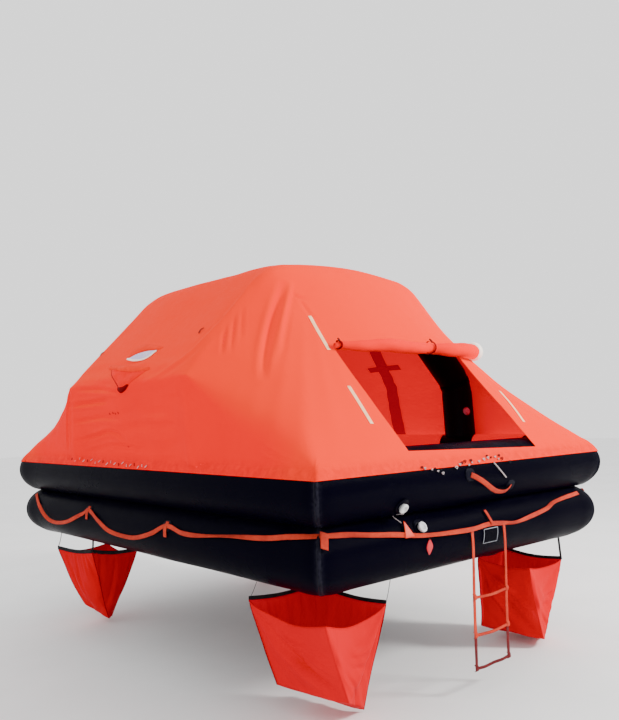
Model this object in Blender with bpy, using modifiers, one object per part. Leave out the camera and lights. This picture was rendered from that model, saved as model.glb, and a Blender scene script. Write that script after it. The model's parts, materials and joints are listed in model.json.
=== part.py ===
"""Inflatable life raft for twelve people, with a canopy over two arches.

Metres, +Z up. X runs across the raft, Y along it, and the front entrance
faces -Y. The origin is on the waterline, midway along and across.
"""

from math import cos, pi, radians, sin

import bmesh
import bpy
from mathutils import Matrix, Vector
from mathutils.bvhtree import BVHTree

# Buoyancy tubes: two stacked rings with mitred corners
LENGTH = 3.30
WIDTH = 2.35
TUBE_R = 0.165
TUBE_STEP = 0.288
LOWER_INSET = 0.037
DRAUGHT = 0.035
TUBE_SIDES = 40
SEAT_GAP = 0.0003

LOWER_Z = TUBE_R - DRAUGHT
UPPER_Z = LOWER_Z + TUBE_STEP
PINCH_Z = (LOWER_Z + UPPER_Z) / 2

# Half sizes of the rectangles that the tubes' centre lines follow
UPPER_X = WIDTH / 2 - TUBE_R
UPPER_Y = LENGTH / 2 - TUBE_R
LOWER_X = UPPER_X - LOWER_INSET
LOWER_Y = UPPER_Y - LOWER_INSET

# Floor
FLOOR_THICK = 0.030
FLOOR_Z = 0.045 - DRAUGHT
PAD_SIZE = (1.56, 2.50, 0.020)

# Arches across the raft, their feet standing a little nearer the entrances than their tops
ARCH_R = 0.106
ARCH_Y = 0.618
ARCH_KNEE_Y = 0.658
ARCH_FOOT_Y = 0.705
ARCH_FOOT_X = 1.048
ARCH_KNEE_X = 1.078
ARCH_KNEE_Z = 0.981 - DRAUGHT
ARCH_TOP_X = 0.543
ARCH_TOP_Z = 1.545 - DRAUGHT
ARCH_CROWN = 0.040
ARCH_BEND = 0.12
ARCH_VALVE_Z = 0.768 - DRAUGHT
ARCH_VALVE_R = 0.020
ARCH_VALVE_THICK = 0.016
ARCH_VALVE_TURN = 21
ARCH_VALVE_CLEAR = 0.0001

# Canopy: inner surface, and its wall outside it
CANOPY_THICK = 0.008
ARCH_CLEAR = 0.004
RIDGE_Y = 0.682
SEAM_IN = 0.005
EDGE_ANGLES = (20, 30, 40)
TUBE_CLEAR = 0.0014
HIP_SAG = 0.132
KNEE_SAG = 0.045
ROWS = 6
FACET_COLUMNS = 4
HIP_COLUMNS = 3
WALL_COLUMNS = 2
ENTRANCE_HALF = 0.525
ENTRANCE_LOW = 0.600 - DRAUGHT
ENTRANCE_HIGH = 1.120 - DRAUGHT

# Rolled entrance covers
ROLL_THIN = 0.032
ROLL_THICK = 0.056
ROLL_NEAR_END = -0.53
ROLL_FAR_END = 0.74
ROLL_Z = 1.127 - DRAUGHT
ROLL_CLEAR = 0.0013

# Viewing ports and rain pouches on the canopy's shoulders
PORT_LONG = 0.28
PORT_WIDE = 0.12
PORT_THICK = 0.006
PORT_Z = 1.175 - DRAUGHT
POUCH_TOP = 0.36
POUCH_DEEP = 0.11
POUCH_THICK = 0.018

# Water pockets, square in plan and turned a little from the raft's sides
POCKET_TURN = radians(-38)
POCKET_SPLAY = 0.06
POCKET_DEEP = 0.42
POCKET_WALL = 0.005
POCKET_STRAP_R = 0.006

# Webbing
WEB_WIDE = 0.022
WEB_THICK = 0.004
LINE_R = 0.008
LINE_CLEAR = 0.0015
PATCH_SIZE = 0.055

COLLECTION = "inflatable_life_raft"


def clear_scene():
    for item in list(bpy.data.objects):
        bpy.data.objects.remove(item, do_unlink=True)


def make_collection(name):
    collection = bpy.data.collections.new(name)
    bpy.context.scene.collection.children.link(collection)
    return collection


def make_material(name, colour, roughness, metallic=0.0):
    material = bpy.data.materials.new(name)
    material.use_nodes = True
    shader = material.node_tree.nodes["Principled BSDF"]
    shader.inputs["Base Color"].default_value = (*colour, 1.0)
    shader.inputs["Roughness"].default_value = roughness
    shader.inputs["Metallic"].default_value = metallic
    material.diffuse_color = (*colour, 1.0)
    return material


clear_scene()
PARTS = make_collection(COLLECTION)
CUTTERS = make_collection("cutters")

TUBE_BLACK = make_material("tube_black", (0.006, 0.005, 0.012), 0.35)
ARCH_BLACK = make_material("arch_black", (0.008, 0.006, 0.012), 0.45)
CANOPY_ORANGE = make_material("canopy_orange", (0.95, 0.16, 0.06), 0.60)
COVER_ORANGE = make_material("cover_orange", (0.90, 0.20, 0.12), 0.60)
FLOOR_ORANGE = make_material("floor_orange", (0.60, 0.07, 0.03), 0.70)
POCKET_RED = make_material("pocket_red", (0.80, 0.03, 0.02), 0.60)
WEBBING_ORANGE = make_material("webbing_orange", (0.65, 0.12, 0.04), 0.80)
PORT_WHITE = make_material("port_white", (0.75, 0.70, 0.80), 0.30)
VALVE_WHITE = make_material("valve_white", (0.75, 0.74, 0.70), 0.40)
VALVE_PINK = make_material("valve_pink", (0.75, 0.25, 0.28), 0.40)
TAG_RED = make_material("tag_red", (0.70, 0.06, 0.04), 0.50)
PLATE_GREY = make_material("plate_grey", (0.20, 0.21, 0.22), 0.45)
POUCH_BLACK = make_material("pouch_black", (0.010, 0.009, 0.014), 0.60)
STEEL_GREY = make_material("steel_grey", (0.30, 0.31, 0.32), 0.35, 0.9)


def keep(item, name, material):
    """Name an object, give it its material and put it with the parts."""
    item.name = name
    item.data.name = name
    item.data.materials.clear()
    item.data.materials.append(material)
    for collection in list(item.users_collection):
        collection.objects.unlink(item)
    PARTS.objects.link(item)
    return item


def hide_as_cutter(item):
    for collection in list(item.users_collection):
        collection.objects.unlink(item)
    CUTTERS.objects.link(item)
    item.hide_render = True
    item.display_type = "WIRE"
    return item


def mesh_object(name, bm):
    bmesh.ops.recalc_face_normals(bm, faces=bm.faces)
    mesh = bpy.data.meshes.new(name)
    bm.to_mesh(mesh)
    bm.free()
    item = bpy.data.objects.new(name, mesh)
    bpy.context.scene.collection.objects.link(item)
    return item


def box(name, size, place=(0, 0, 0), rotation=None):
    """A box of the given size, its own axes turned by a 3x3 rotation."""
    bm = bmesh.new()
    bmesh.ops.create_cube(bm, size=1.0)
    bmesh.ops.scale(bm, vec=size, verts=bm.verts)
    item = mesh_object(name, bm)
    turn = rotation.to_4x4() if rotation else Matrix.Identity(4)
    item.matrix_world = Matrix.Translation(place) @ turn
    return item


def disc(name, radius, depth, place, rotation=None, stretch=1.0, sides=24):
    """A round plate along its own Z, stretched along its own X."""
    bm = bmesh.new()
    bmesh.ops.create_cone(bm, cap_ends=True, segments=sides, radius1=radius, radius2=radius, depth=depth)
    bmesh.ops.scale(bm, vec=(stretch, 1, 1), verts=bm.verts)
    item = mesh_object(name, bm)
    turn = rotation.to_4x4() if rotation else Matrix.Identity(4)
    item.matrix_world = Matrix.Translation(place) @ turn
    return item


def boolean(item, other, operation):
    modifier = item.modifiers.new(operation.lower(), "BOOLEAN")
    modifier.operation = operation
    modifier.solver = "EXACT"
    modifier.object = other
    return modifier


def tube_along(name, points, radius, sides=8, radii=None):
    """A closed mesh tube through the points, from a POLY curve."""
    curve = bpy.data.curves.new(name, "CURVE")
    curve.dimensions = "3D"
    curve.bevel_depth = radius
    curve.bevel_resolution = max(0, sides // 2 - 2)
    curve.use_fill_caps = True
    spline = curve.splines.new("POLY")
    spline.points.add(len(points) - 1)
    for index, point in enumerate(points):
        spline.points[index].co = (*point, 1.0)
        spline.points[index].radius = radii[index] / radius if radii else 1.0
    item = bpy.data.objects.new(name, curve)
    bpy.context.scene.collection.objects.link(item)
    return as_mesh(item)


def as_mesh(item):
    """Replace a curve object by a mesh object with its caps welded."""
    graph = bpy.context.evaluated_depsgraph_get()
    mesh = bpy.data.meshes.new_from_object(item.evaluated_get(graph))
    bm = bmesh.new()
    bm.from_mesh(mesh)
    bmesh.ops.remove_doubles(bm, verts=bm.verts, dist=0.00001)
    bmesh.ops.recalc_face_normals(bm, faces=bm.faces)
    bm.to_mesh(mesh)
    bm.free()
    solid = bpy.data.objects.new(item.name, mesh)
    solid.matrix_world = item.matrix_world
    bpy.context.scene.collection.objects.link(solid)
    bpy.data.objects.remove(item, do_unlink=True)
    return solid


def smooth_route(points, per_span=6):
    """Points along a smooth curve through the given ones."""
    route = [Vector(point) for point in points]
    padded = [route[0]] + route + [route[-1]]
    result = []
    for before, start, end, after in zip(padded, padded[1:], padded[2:], padded[3:]):
        for step in range(per_span):
            t = step / per_span
            result.append(
                0.5 * (2 * start + (end - before) * t
                       + (2 * before - 5 * start + 4 * end - after) * t * t
                       + (3 * start - before - 3 * end + after) * t * t * t))
    result.append(route[-1])
    return result


def frame_on(normal, along):
    """A rotation with its own Z on the normal and its X close to along."""
    z_axis = Vector(normal).normalized()
    y_axis = z_axis.cross(Vector(along)).normalized()
    x_axis = y_axis.cross(z_axis)
    return Matrix((x_axis, y_axis, z_axis)).transposed()


# Buoyancy tubes and floor

def ring_tube(name, half_x, half_y, height, radius, low=None, high=None):
    """A mitred rectangular ring of round tube, flattened at low or high."""
    bm = bmesh.new()
    corners = ((1, 1), (-1, 1), (-1, -1), (1, -1))
    loops = []
    for side_x, side_y in corners:
        loop = []
        for step in range(TUBE_SIDES):
            angle = 2 * pi * step / TUBE_SIDES
            out = radius * cos(angle)
            z = height + radius * sin(angle)
            z = max(z, low) if low is not None else z
            z = min(z, high) if high is not None else z
            loop.append(bm.verts.new((side_x * (half_x + out), side_y * (half_y + out), z)))
        loops.append(loop)
    for index in range(4):
        here, there = loops[index], loops[(index + 1) % 4]
        for step in range(TUBE_SIDES):
            after = (step + 1) % TUBE_SIDES
            bm.faces.new((here[step], there[step], there[after], here[after]))
    return mesh_object(name, bm)


def tube_cutter(name, half_x, half_y, height):
    """The full round ring, larger all round by the gap that seats keep."""
    grown = TUBE_R + SEAT_GAP / cos(pi / TUBE_SIDES)
    return hide_as_cutter(ring_tube(name, half_x, half_y, height, grown))


def make_tubes():
    keep(ring_tube("upper_tube", UPPER_X, UPPER_Y, UPPER_Z, TUBE_R, low=PINCH_Z + SEAT_GAP / 2),
         "upper_tube", TUBE_BLACK)
    keep(ring_tube("lower_tube", LOWER_X, LOWER_Y, LOWER_Z, TUBE_R, high=PINCH_Z - SEAT_GAP / 2),
         "lower_tube", TUBE_BLACK)


def make_floor(lower_cutter):
    size = (2 * LOWER_X, 2 * LOWER_Y, FLOOR_THICK)
    floor = keep(box("floor", size, (0, 0, FLOOR_Z)), "floor", FLOOR_ORANGE)
    pad = hide_as_cutter(box("floor_pad", PAD_SIZE, (0, 0, FLOOR_Z + FLOOR_THICK / 2 + PAD_SIZE[2] / 4)))
    pad.scale.z = 1.5
    boolean(floor, pad, "UNION")
    boolean(floor, lower_cutter, "DIFFERENCE")
    return floor


# Arches

def bend_points(corner, before, after, reach, steps=5):
    """Points of a round bend that starts and ends at reach from the corner."""
    start = corner + (before - corner).normalized() * reach
    end = corner + (after - corner).normalized() * reach
    points = []
    for step in range(steps + 1):
        t = step / steps
        points.append(start * (1 - t) ** 2 + corner * 2 * t * (1 - t) + end * t ** 2)
    return points


def crown_at(x):
    """How much the arches and the roof rise towards their middle."""
    return ARCH_CROWN * max(0, 1 - (x / ARCH_TOP_X) ** 2)


def arch_points():
    """Half of the rear arch's centre line, from its foot to its middle."""
    foot = Vector((ARCH_FOOT_X, ARCH_FOOT_Y, UPPER_Z))
    knee = Vector((ARCH_KNEE_X, ARCH_KNEE_Y, ARCH_KNEE_Z))
    top = Vector((ARCH_TOP_X, ARCH_Y, ARCH_TOP_Z))
    middle = Vector((0, ARCH_Y, ARCH_TOP_Z))
    half = [foot] + bend_points(knee, foot, top, ARCH_BEND) + bend_points(top, knee, middle, ARCH_BEND)
    reach = half[-1].x
    half += [Vector((reach * share, ARCH_Y, ARCH_TOP_Z)) for share in (0.6, 0.25)]
    for point in half:
        point.z += crown_at(point.x)
    return half


def make_arch(name, side, upper_cutter):
    half = [Vector((point.x, side * point.y, point.z)) for point in arch_points()]
    route = half + [Vector((-point.x, point.y, point.z)) for point in reversed(half)]
    arch = keep(tube_along(name, route, ARCH_R, sides=20), name, ARCH_BLACK)
    boolean(arch, upper_cutter, "DIFFERENCE")
    return arch


# Canopy

def offset_corner(before, corner, after, distance):
    """Where two lines of a profile meet after both move out by distance."""
    first = (corner - before).normalized()
    second = (after - corner).normalized()
    normal_1 = Vector((first.y, -first.x))
    normal_2 = Vector((second.y, -second.x))
    bisector = (normal_1 + normal_2).normalized()
    return corner + bisector * distance / bisector.dot(normal_1)


def canopy_corners():
    """The knee and the top corner of the canopy's inner profile, as X and Z."""
    reach = ARCH_R + ARCH_CLEAR
    foot = Vector((ARCH_FOOT_X, UPPER_Z))
    knee = Vector((ARCH_KNEE_X, ARCH_KNEE_Z))
    top = Vector((ARCH_TOP_X, ARCH_TOP_Z))
    middle = Vector((0, ARCH_TOP_Z))
    return offset_corner(foot, knee, top, reach), offset_corner(knee, top, middle, reach)


def edge_point(angle):
    """How far out of the tube's centre line, and how high, the canopy lies on it."""
    reach = TUBE_R + TUBE_CLEAR
    return reach * cos(radians(angle)), UPPER_Z + reach * sin(radians(angle))


def mix(start, end, t):
    return start + (end - start) * t


def sagging(start, end, sag, rows):
    """Points from start to end, drawn in towards the raft's middle between them."""
    points = []
    for row in range(rows + 1):
        t = row / rows
        inward = Vector((-1, -1, 0)).normalized() * sag * 4 * t * (1 - t)
        points.append(mix(start, end, t) + inward)
    return points


def between(first, second, columns):
    """The lines from one line to another with as many points."""
    lines = []
    for column in range(columns + 1):
        lines.append([mix(a, b, column / columns) for a, b in zip(first, second)])
    return lines


def skin(bm, lines):
    """Faces between lines that have as many points as each other."""
    grid = [[bm.verts.new(point) for point in line] for line in lines]
    for here, there in zip(grid, grid[1:]):
        for row in range(len(here) - 1):
            bm.faces.new((here[row], here[row + 1], there[row + 1], there[row]))


def canopy_surface():
    """A quarter of the canopy's inner surface, for X and Y above zero."""
    knee_2d, top_2d = canopy_corners()
    out, skirt_z = edge_point(EDGE_ANGLES[-1])
    edge_out, edge_z = edge_point(EDGE_ANGLES[0])
    knee = Vector((knee_2d.x, RIDGE_Y, knee_2d.y))
    top = Vector((top_2d.x, RIDGE_Y, top_2d.y))
    corner = Vector((UPPER_X + out, UPPER_Y + out, skirt_z))
    wall_foot = Vector((UPPER_X + edge_out, RIDGE_Y, edge_z))
    wall_foot = mix(wall_foot, knee, (skirt_z - edge_z) / (knee.z - edge_z))
    to_middle = Matrix.Diagonal((1, 0, 1))
    to_centre = Matrix.Diagonal((0, 1, 1))

    facet_lines = []
    for column in range(FACET_COLUMNS + 1):
        t = column / FACET_COLUMNS
        head = mix(to_centre @ top, top, t) + Vector((0, 0, ARCH_CROWN * (1 - t ** 2)))
        foot = mix(to_centre @ corner, corner, t)
        facet_lines.append(sagging(head, foot, HIP_SAG * t ** 2, ROWS))
    knee_crease = sagging(knee, corner, KNEE_SAG, ROWS)
    wall_line = sagging(knee, wall_foot, 0, ROWS)
    shoulder_line = sagging(top, knee, 0, HIP_COLUMNS)
    roof_line = [line[0] for line in facet_lines]

    bm = bmesh.new()
    skin(bm, facet_lines)
    skin(bm, between(facet_lines[-1], knee_crease, HIP_COLUMNS))
    skin(bm, between(knee_crease, wall_line, HIP_COLUMNS))
    for line in (wall_line, shoulder_line, roof_line):
        skin(bm, between(line, [to_middle @ point for point in line], WALL_COLUMNS))

    rings = []
    for angle in reversed(EDGE_ANGLES):
        ring_out, ring_z = edge_point(angle)
        ring_corner = Vector((UPPER_X + ring_out, UPPER_Y + ring_out, ring_z))
        wall_x = mix(wall_foot.x, UPPER_X + edge_out, (skirt_z - ring_z) / (skirt_z - edge_z))
        ridge = Vector((wall_x, RIDGE_Y, ring_z))
        ring = [to_centre @ ring_corner]
        stretches = ((ring_corner, FACET_COLUMNS), (ridge, HIP_COLUMNS), (to_middle @ ridge, WALL_COLUMNS))
        for end, columns in stretches:
            start = ring[-1]
            ring += [mix(start, end, column / columns) for column in range(1, columns + 1)]
        rings.append(ring)
    skin(bm, rings)
    bmesh.ops.remove_doubles(bm, verts=bm.verts, dist=0.0001)
    bmesh.ops.dissolve_degenerate(bm, dist=0.0001, edges=bm.edges)
    return bm


def facet_place(tree, x, z, out):
    """A point out from the front facet's outer face."""
    hit, normal, _, _ = tree.ray_cast(Vector((abs(x), LENGTH, z)), Vector((0, -1, 0)))
    if normal.y < 0:
        normal.negate()
    place = hit + normal * (CANOPY_THICK + out)
    return Vector((place.x if x > 0 else -place.x, -place.y, place.z))


def make_canopy_panel(name, side):
    """One of the canopy's panels: the front or rear one with its entrance, or the one between them."""
    bm = canopy_surface()
    middle = side == 0
    seam_y = RIDGE_Y - SEAM_IN + (-SEAT_GAP / 2 if middle else SEAT_GAP / 2)
    everything = bm.verts[:] + bm.edges[:] + bm.faces[:]
    bmesh.ops.bisect_plane(bm, geom=everything, plane_co=(0, seam_y, 0), plane_no=(0, 1, 0),
                           clear_outer=middle, clear_inner=not middle)
    bmesh.ops.scale(bm, vec=(1, side or 1, 1), verts=bm.verts)
    panel = keep(mesh_object(name, bm), name, CANOPY_ORANGE)
    highest = max(panel.data.polygons, key=lambda face: face.center.z)
    mirror = panel.modifiers.new("mirror", "MIRROR")
    mirror.use_axis = (True, middle, False)
    mirror.use_clip = True
    mirror.merge_threshold = 0.0001
    wall = panel.modifiers.new("wall", "SOLIDIFY")
    wall.thickness = CANOPY_THICK
    wall.offset = 1 if highest.normal.z > 0 else -1
    wall.use_even_offset = True
    if side:
        size = (2 * ENTRANCE_HALF, 1.0, ENTRANCE_HIGH - ENTRANCE_LOW)
        place = (0, side * 1.40, (ENTRANCE_HIGH + ENTRANCE_LOW) / 2)
        boolean(panel, hide_as_cutter(box(f"{name}_entrance", size, place)), "DIFFERENCE")
    return panel


def make_canopy():
    make_canopy_panel("canopy_front", -1)
    make_canopy_panel("canopy_middle", 0)
    make_canopy_panel("canopy_rear", 1)


def make_cover_roll(name, turned):
    """A cover rolled up along an entrance's head, thicker at one end."""
    surface = canopy_surface()
    tree = BVHTree.FromBMesh(surface)
    surface.free()
    stations = 21
    points, radii = [], []
    for index in range(stations):
        t = index / (stations - 1)
        radius = mix(ROLL_THIN, ROLL_THICK, t)
        x = mix(ROLL_NEAR_END, ROLL_FAR_END, t)
        points.append(facet_place(tree, x, ROLL_Z, radius + ROLL_CLEAR))
        radii.append(radius)
    roll = tube_along(name, points, ROLL_THICK, sides=16, radii=radii)
    if turned:
        roll.matrix_world = Matrix.Rotation(pi, 4, "Z")
    return keep(roll, name, COVER_ORANGE)


def shoulder_place(z, y, out, side):
    """A point on a shoulder's outer face, or out from it, and its normal."""
    knee, top = canopy_corners()
    slope = top - knee
    normal = Vector((slope.y, 0, -slope.x)).normalized()
    x = knee.x + slope.x * (z - knee.y) / slope.y
    place = Vector((x, y, z)) + normal * (CANOPY_THICK + out)
    place.x *= side
    normal.x *= side
    return place, normal


def make_port(name, side):
    place, normal = shoulder_place(PORT_Z, -0.03, SEAT_GAP + PORT_THICK / 2, side)
    port = disc(name, PORT_WIDE / 2, PORT_THICK, place, frame_on(normal, (0, 1, 0)), PORT_LONG / PORT_WIDE)
    return keep(port, name, PORT_WHITE)


def make_pouch(name, side):
    """A three-cornered rain pouch below the port, its point down the slope."""
    place, normal = shoulder_place(PORT_Z - 0.060, -0.05, SEAT_GAP + POUCH_THICK / 2, side)
    turn = frame_on(normal, (0, 1, 0))
    down = -1 if (turn @ Vector((0, 1, 0))).z > 0 else 1
    curve = bpy.data.curves.new(name, "CURVE")
    curve.dimensions = "2D"
    curve.fill_mode = "BOTH"
    curve.extrude = POUCH_THICK / 2
    spline = curve.splines.new("POLY")
    outline = ((-POUCH_TOP / 2, 0), (POUCH_TOP / 2, 0), (0.03, down * POUCH_DEEP), (-0.03, down * POUCH_DEEP))
    spline.points.add(len(outline) - 1)
    for point, (x, y) in zip(spline.points, outline):
        point.co = (x, y, 0, 1)
    spline.use_cyclic_u = True
    item = bpy.data.objects.new(name, curve)
    bpy.context.scene.collection.objects.link(item)
    item.matrix_world = Matrix.Translation(place) @ turn.to_4x4()
    bpy.context.view_layer.update()
    return keep(as_mesh(item), name, CANOPY_ORANGE)


# Things carried on the tubes' outer faces

def tube_place(ring, side, along, angle, out):
    """A point out from a tube's face at an angle above level, and its normal."""
    half_x, half_y, height = (UPPER_X, UPPER_Y, UPPER_Z) if ring == "upper" else (LOWER_X, LOWER_Y, LOWER_Z)
    reach = TUBE_R + out
    sideways, rise = reach * cos(radians(angle)), reach * sin(radians(angle))
    flat, up = cos(radians(angle)), sin(radians(angle))
    if side in ("front", "rear"):
        sign = -1 if side == "front" else 1
        return Vector((along, sign * (half_y + sideways), height + rise)), Vector((0, sign * flat, up))
    sign = -1 if side == "left" else 1
    return Vector((sign * (half_x + sideways), along, height + rise)), Vector((sign * flat, 0, up))


def side_direction(side):
    return Vector((1, 0, 0)) if side in ("front", "rear") else Vector((0, 1, 0))


def tube_box(name, ring, side, along, angle, size):
    """A box on a tube's face: size along it, round it and out from it."""
    place, normal = tube_place(ring, side, along, angle, SEAT_GAP + size[2] / 2)
    return box(name, size, place, frame_on(normal, side_direction(side)))


# Grab line: the angle round the lower tube at places along each side, and where its patches are
GRAB_FRONT = ((-1.04, 38), (-0.74, 12), (-0.50, 9), (-0.30, 16), (0.00, 30), (0.38, 14), (0.70, 28),
              (1.00, 38))
GRAB_LEFT = ((-1.50, 38), (-1.12, 22), (-0.80, 8), (-0.45, 18), (-0.31, 4), (0.04, -12), (0.36, 6),
             (0.52, 26), (0.90, -16), (1.15, 0), (1.30, 37), (1.50, 38))
GRAB_PATCHES = {"front": (-1.04, 0.00, 1.00), "left": (-1.50, -0.45, 0.52, 1.30)}


def make_grab_line(name, side, table, patches):
    route = smooth_route([(along, angle, 0) for along, angle in table], 5)
    points = [tube_place("lower", side, stop.x, stop.y, LINE_CLEAR + LINE_R)[0] for stop in route]
    line = tube_along(name, points, LINE_R, sides=8)
    keep(line, name, WEBBING_ORANGE)
    for along in patches:
        angle = dict(table)[along]
        size = (PATCH_SIZE, PATCH_SIZE, 2 * LINE_R + 2 * LINE_CLEAR)
        patch = hide_as_cutter(tube_box(f"{name}_patch", "lower", side, along, angle, size))
        boolean(line, patch, "UNION")
    return line


def make_grab_lines():
    turned = {"front": "rear", "left": "right"}
    for side, table in (("front", GRAB_FRONT), ("left", GRAB_LEFT)):
        make_grab_line(f"grab_line_{side}", side, table, GRAB_PATCHES[side])
        opposite = turned[side]
        flipped = tuple((-along, angle) for along, angle in reversed(table))
        if side == "left":
            flipped = table
        patches = GRAB_PATCHES[side] if side == "left" else tuple(-along for along in GRAB_PATCHES[side])
        make_grab_line(f"grab_line_{opposite}", opposite, flipped, patches)


# Boarding ladders of webbing
LADDER_LEFT = -0.115
LADDER_RIGHT = 0.165
LADDER_TOP = 0.200 - DRAUGHT
LADDER_RUNGS = (-0.140 - DRAUGHT, -0.320 - DRAUGHT, -0.487 - DRAUGHT)


def make_ladder(name):
    """Two hanging straps and their rungs, one piece, in front of the lower tube."""
    y = -(LOWER_Y + TUBE_R + SEAT_GAP + WEB_THICK / 2)
    foot = LADDER_RUNGS[-1] - WEB_WIDE / 2
    middle = (LADDER_TOP + foot) / 2
    strap_size = (WEB_WIDE, WEB_THICK, LADDER_TOP - foot)
    ladder = keep(box(name, strap_size, (LADDER_LEFT, y, middle)), name, WEBBING_ORANGE)
    other = hide_as_cutter(box(f"{name}_strap", strap_size, (LADDER_RIGHT, y, middle)))
    boolean(ladder, other, "UNION")
    rung_size = (LADDER_RIGHT - LADDER_LEFT + WEB_WIDE / 2, WEB_THICK * 2.5, WEB_WIDE)
    centre = (LADDER_LEFT + LADDER_RIGHT) / 2
    for rung_z in LADDER_RUNGS:
        rung = hide_as_cutter(box(f"{name}_rung", rung_size, (centre, y - WEB_THICK, rung_z)))
        boolean(ladder, rung, "UNION")
    return ladder


# Hand loops over the upper tube below each entrance: places along it, angle and how far off it
HANDLE_ROUTE = ((-0.150, 4, 0.002), (-0.090, -6, 0.022), (0.030, -24, 0.030), (0.140, -30, 0.022),
                (0.210, -26, 0.002))


def make_handle(name, side):
    sign = 1 if side == "front" else -1
    route = smooth_route(HANDLE_ROUTE, 4)
    points = [tube_place("upper", side, sign * stop.x, stop.y, stop.z + LINE_R)[0] for stop in route]
    handle = keep(tube_along(name, points, LINE_R, sides=8), name, WEBBING_ORANGE)
    for along, angle, _ in (HANDLE_ROUTE[0], HANDLE_ROUTE[-1]):
        size = (PATCH_SIZE, PATCH_SIZE, 2 * LINE_R)
        patch = hide_as_cutter(tube_box(f"{name}_patch", "upper", side, sign * along, angle, size))
        boolean(handle, patch, "UNION")
    return handle


# Small fittings on the front face: name, ring, place along, angle, radius, thickness, material
VALVES = (
    ("relief_valve_upper", "upper", -0.63, -36, 0.024, 0.022, VALVE_WHITE),
    ("relief_valve_lower", "lower", -0.48, 27, 0.024, 0.018, VALVE_WHITE),
)


def make_valves():
    for name, ring, along, angle, radius, thick, material in VALVES:
        place, normal = tube_place(ring, "front", along, angle, SEAT_GAP + thick / 2)
        keep(disc(name, radius, thick, place, frame_on(normal, (1, 0, 0))), name, material)


# Flat tags and the blank plate: name, place along, angle, size along, round and out, corners, material
TAGS = (
    ("valve_tag", -0.585, 28, 0.046, 0.050, 0.004, 3, TAG_RED),
    ("pull_tag", -0.440, -5, 0.040, 0.060, 0.004, 4, TAG_RED),
    ("label_plate", 0.048, -8, 0.120, 0.072, 0.005, 0, PLATE_GREY),
)


def make_tags():
    for name, along, angle, wide, tall, thick, corners, material in TAGS:
        if not corners:
            keep(tube_box(name, "lower", "front", along, angle, (wide, tall, thick)), name, material)
            continue
        place, normal = tube_place("lower", "front", along, angle, SEAT_GAP + thick / 2)
        tag = disc(name, tall / 2, thick, place, frame_on(normal, (1, 0, 0)), wide / tall, corners)
        keep(tag, name, material)


def make_arch_valves():
    """A round valve on a leg of each arch, facing its entrance and turned towards the middle."""
    foot = Vector((ARCH_FOOT_X, -ARCH_FOOT_Y, UPPER_Z))
    knee = Vector((ARCH_KNEE_X, -ARCH_KNEE_Y, ARCH_KNEE_Z))
    leg = (knee - foot).normalized()
    middle = mix(foot, knee, (ARCH_VALVE_Z - UPPER_Z) / (ARCH_KNEE_Z - UPPER_Z))
    turn = radians(ARCH_VALVE_TURN)
    facing = Vector((-sin(turn), -cos(turn), 0))
    facing = (facing - leg * facing.dot(leg)).normalized()
    reach = ARCH_R + ARCH_VALVE_CLEAR + ARCH_VALVE_THICK / 2
    for name, angle in (("arch_valve_front", 0), ("arch_valve_rear", pi)):
        half_turn = Matrix.Rotation(angle, 3, "Z")
        place = half_turn @ (middle + facing * reach)
        normal = half_turn @ facing
        valve = disc(name, ARCH_VALVE_R, ARCH_VALVE_THICK, place, frame_on(normal, (0, 0, 1)))
        keep(valve, name, VALVE_PINK)


# Water pockets: name, centre X and Y, rim height, width across the rim, width across the foot
POCKETS = (
    ("water_pocket_front_left", -0.820, -1.252, -0.079, 0.455, 0.31),
    ("water_pocket_front_right", 0.800, -1.272, -0.115, 0.375, 0.32),
    ("water_pocket_rear_left", -0.803, 1.113, -0.105, 0.390, 0.20),
    ("water_pocket_rear_right", 0.803, 1.113, -0.105, 0.390, 0.30),
)


def make_pocket(name, x, y, rim, wide, foot, lower_cutter, floor_cutter):
    """An open bag with a narrower foot, and straps from three of its corners up to the raft."""
    rim_z = rim - DRAUGHT
    bm = bmesh.new()
    bmesh.ops.create_cone(bm, cap_ends=True, segments=4, radius1=foot / 2 ** 0.5,
                          radius2=wide / 2 ** 0.5, depth=POCKET_DEEP)
    mouth = max(bm.faces, key=lambda face: face.calc_center_median().z)
    bmesh.ops.delete(bm, geom=[mouth], context="FACES_ONLY")
    pocket = keep(mesh_object(name, bm), name, POCKET_RED)
    turned = Matrix.Rotation(POCKET_TURN, 4, "Z")
    pocket.matrix_world = Matrix.Translation((x, y, rim_z - POCKET_DEEP / 2)) @ turned
    wall = pocket.modifiers.new("wall", "SOLIDIFY")
    wall.thickness = POCKET_WALL
    wall.offset = -1
    wall.use_even_offset = True
    reach = wide / 2 ** 0.5 - POCKET_WALL
    inward = 1 if y < 0 else -1
    for corner in ((1, 0, 0), (-1, 0, 0), (0, inward, 0)):
        out = turned @ Vector(corner)
        start = Vector((x, y, rim_z - 0.02)) + out * reach
        anchor_x = max(-LOWER_X, min(LOWER_X, start.x + out.x * POCKET_SPLAY))
        anchor_y = max(-LOWER_Y, min(LOWER_Y, start.y + out.y * POCKET_SPLAY))
        end = Vector((anchor_x, anchor_y, FLOOR_Z))
        strap = hide_as_cutter(tube_along(f"{name}_strap", (start, end), POCKET_STRAP_R, sides=8))
        boolean(pocket, strap, "UNION")
    boolean(pocket, lower_cutter, "DIFFERENCE")
    boolean(pocket, floor_cutter, "DIFFERENCE")
    return pocket


# Gas cylinder in its pouch below the right-hand tube
CYLINDER_R = 0.055
CYLINDER_LONG = 0.56
CYLINDER_ANGLE = -42
CRADLE_WIDE = 0.05


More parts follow.
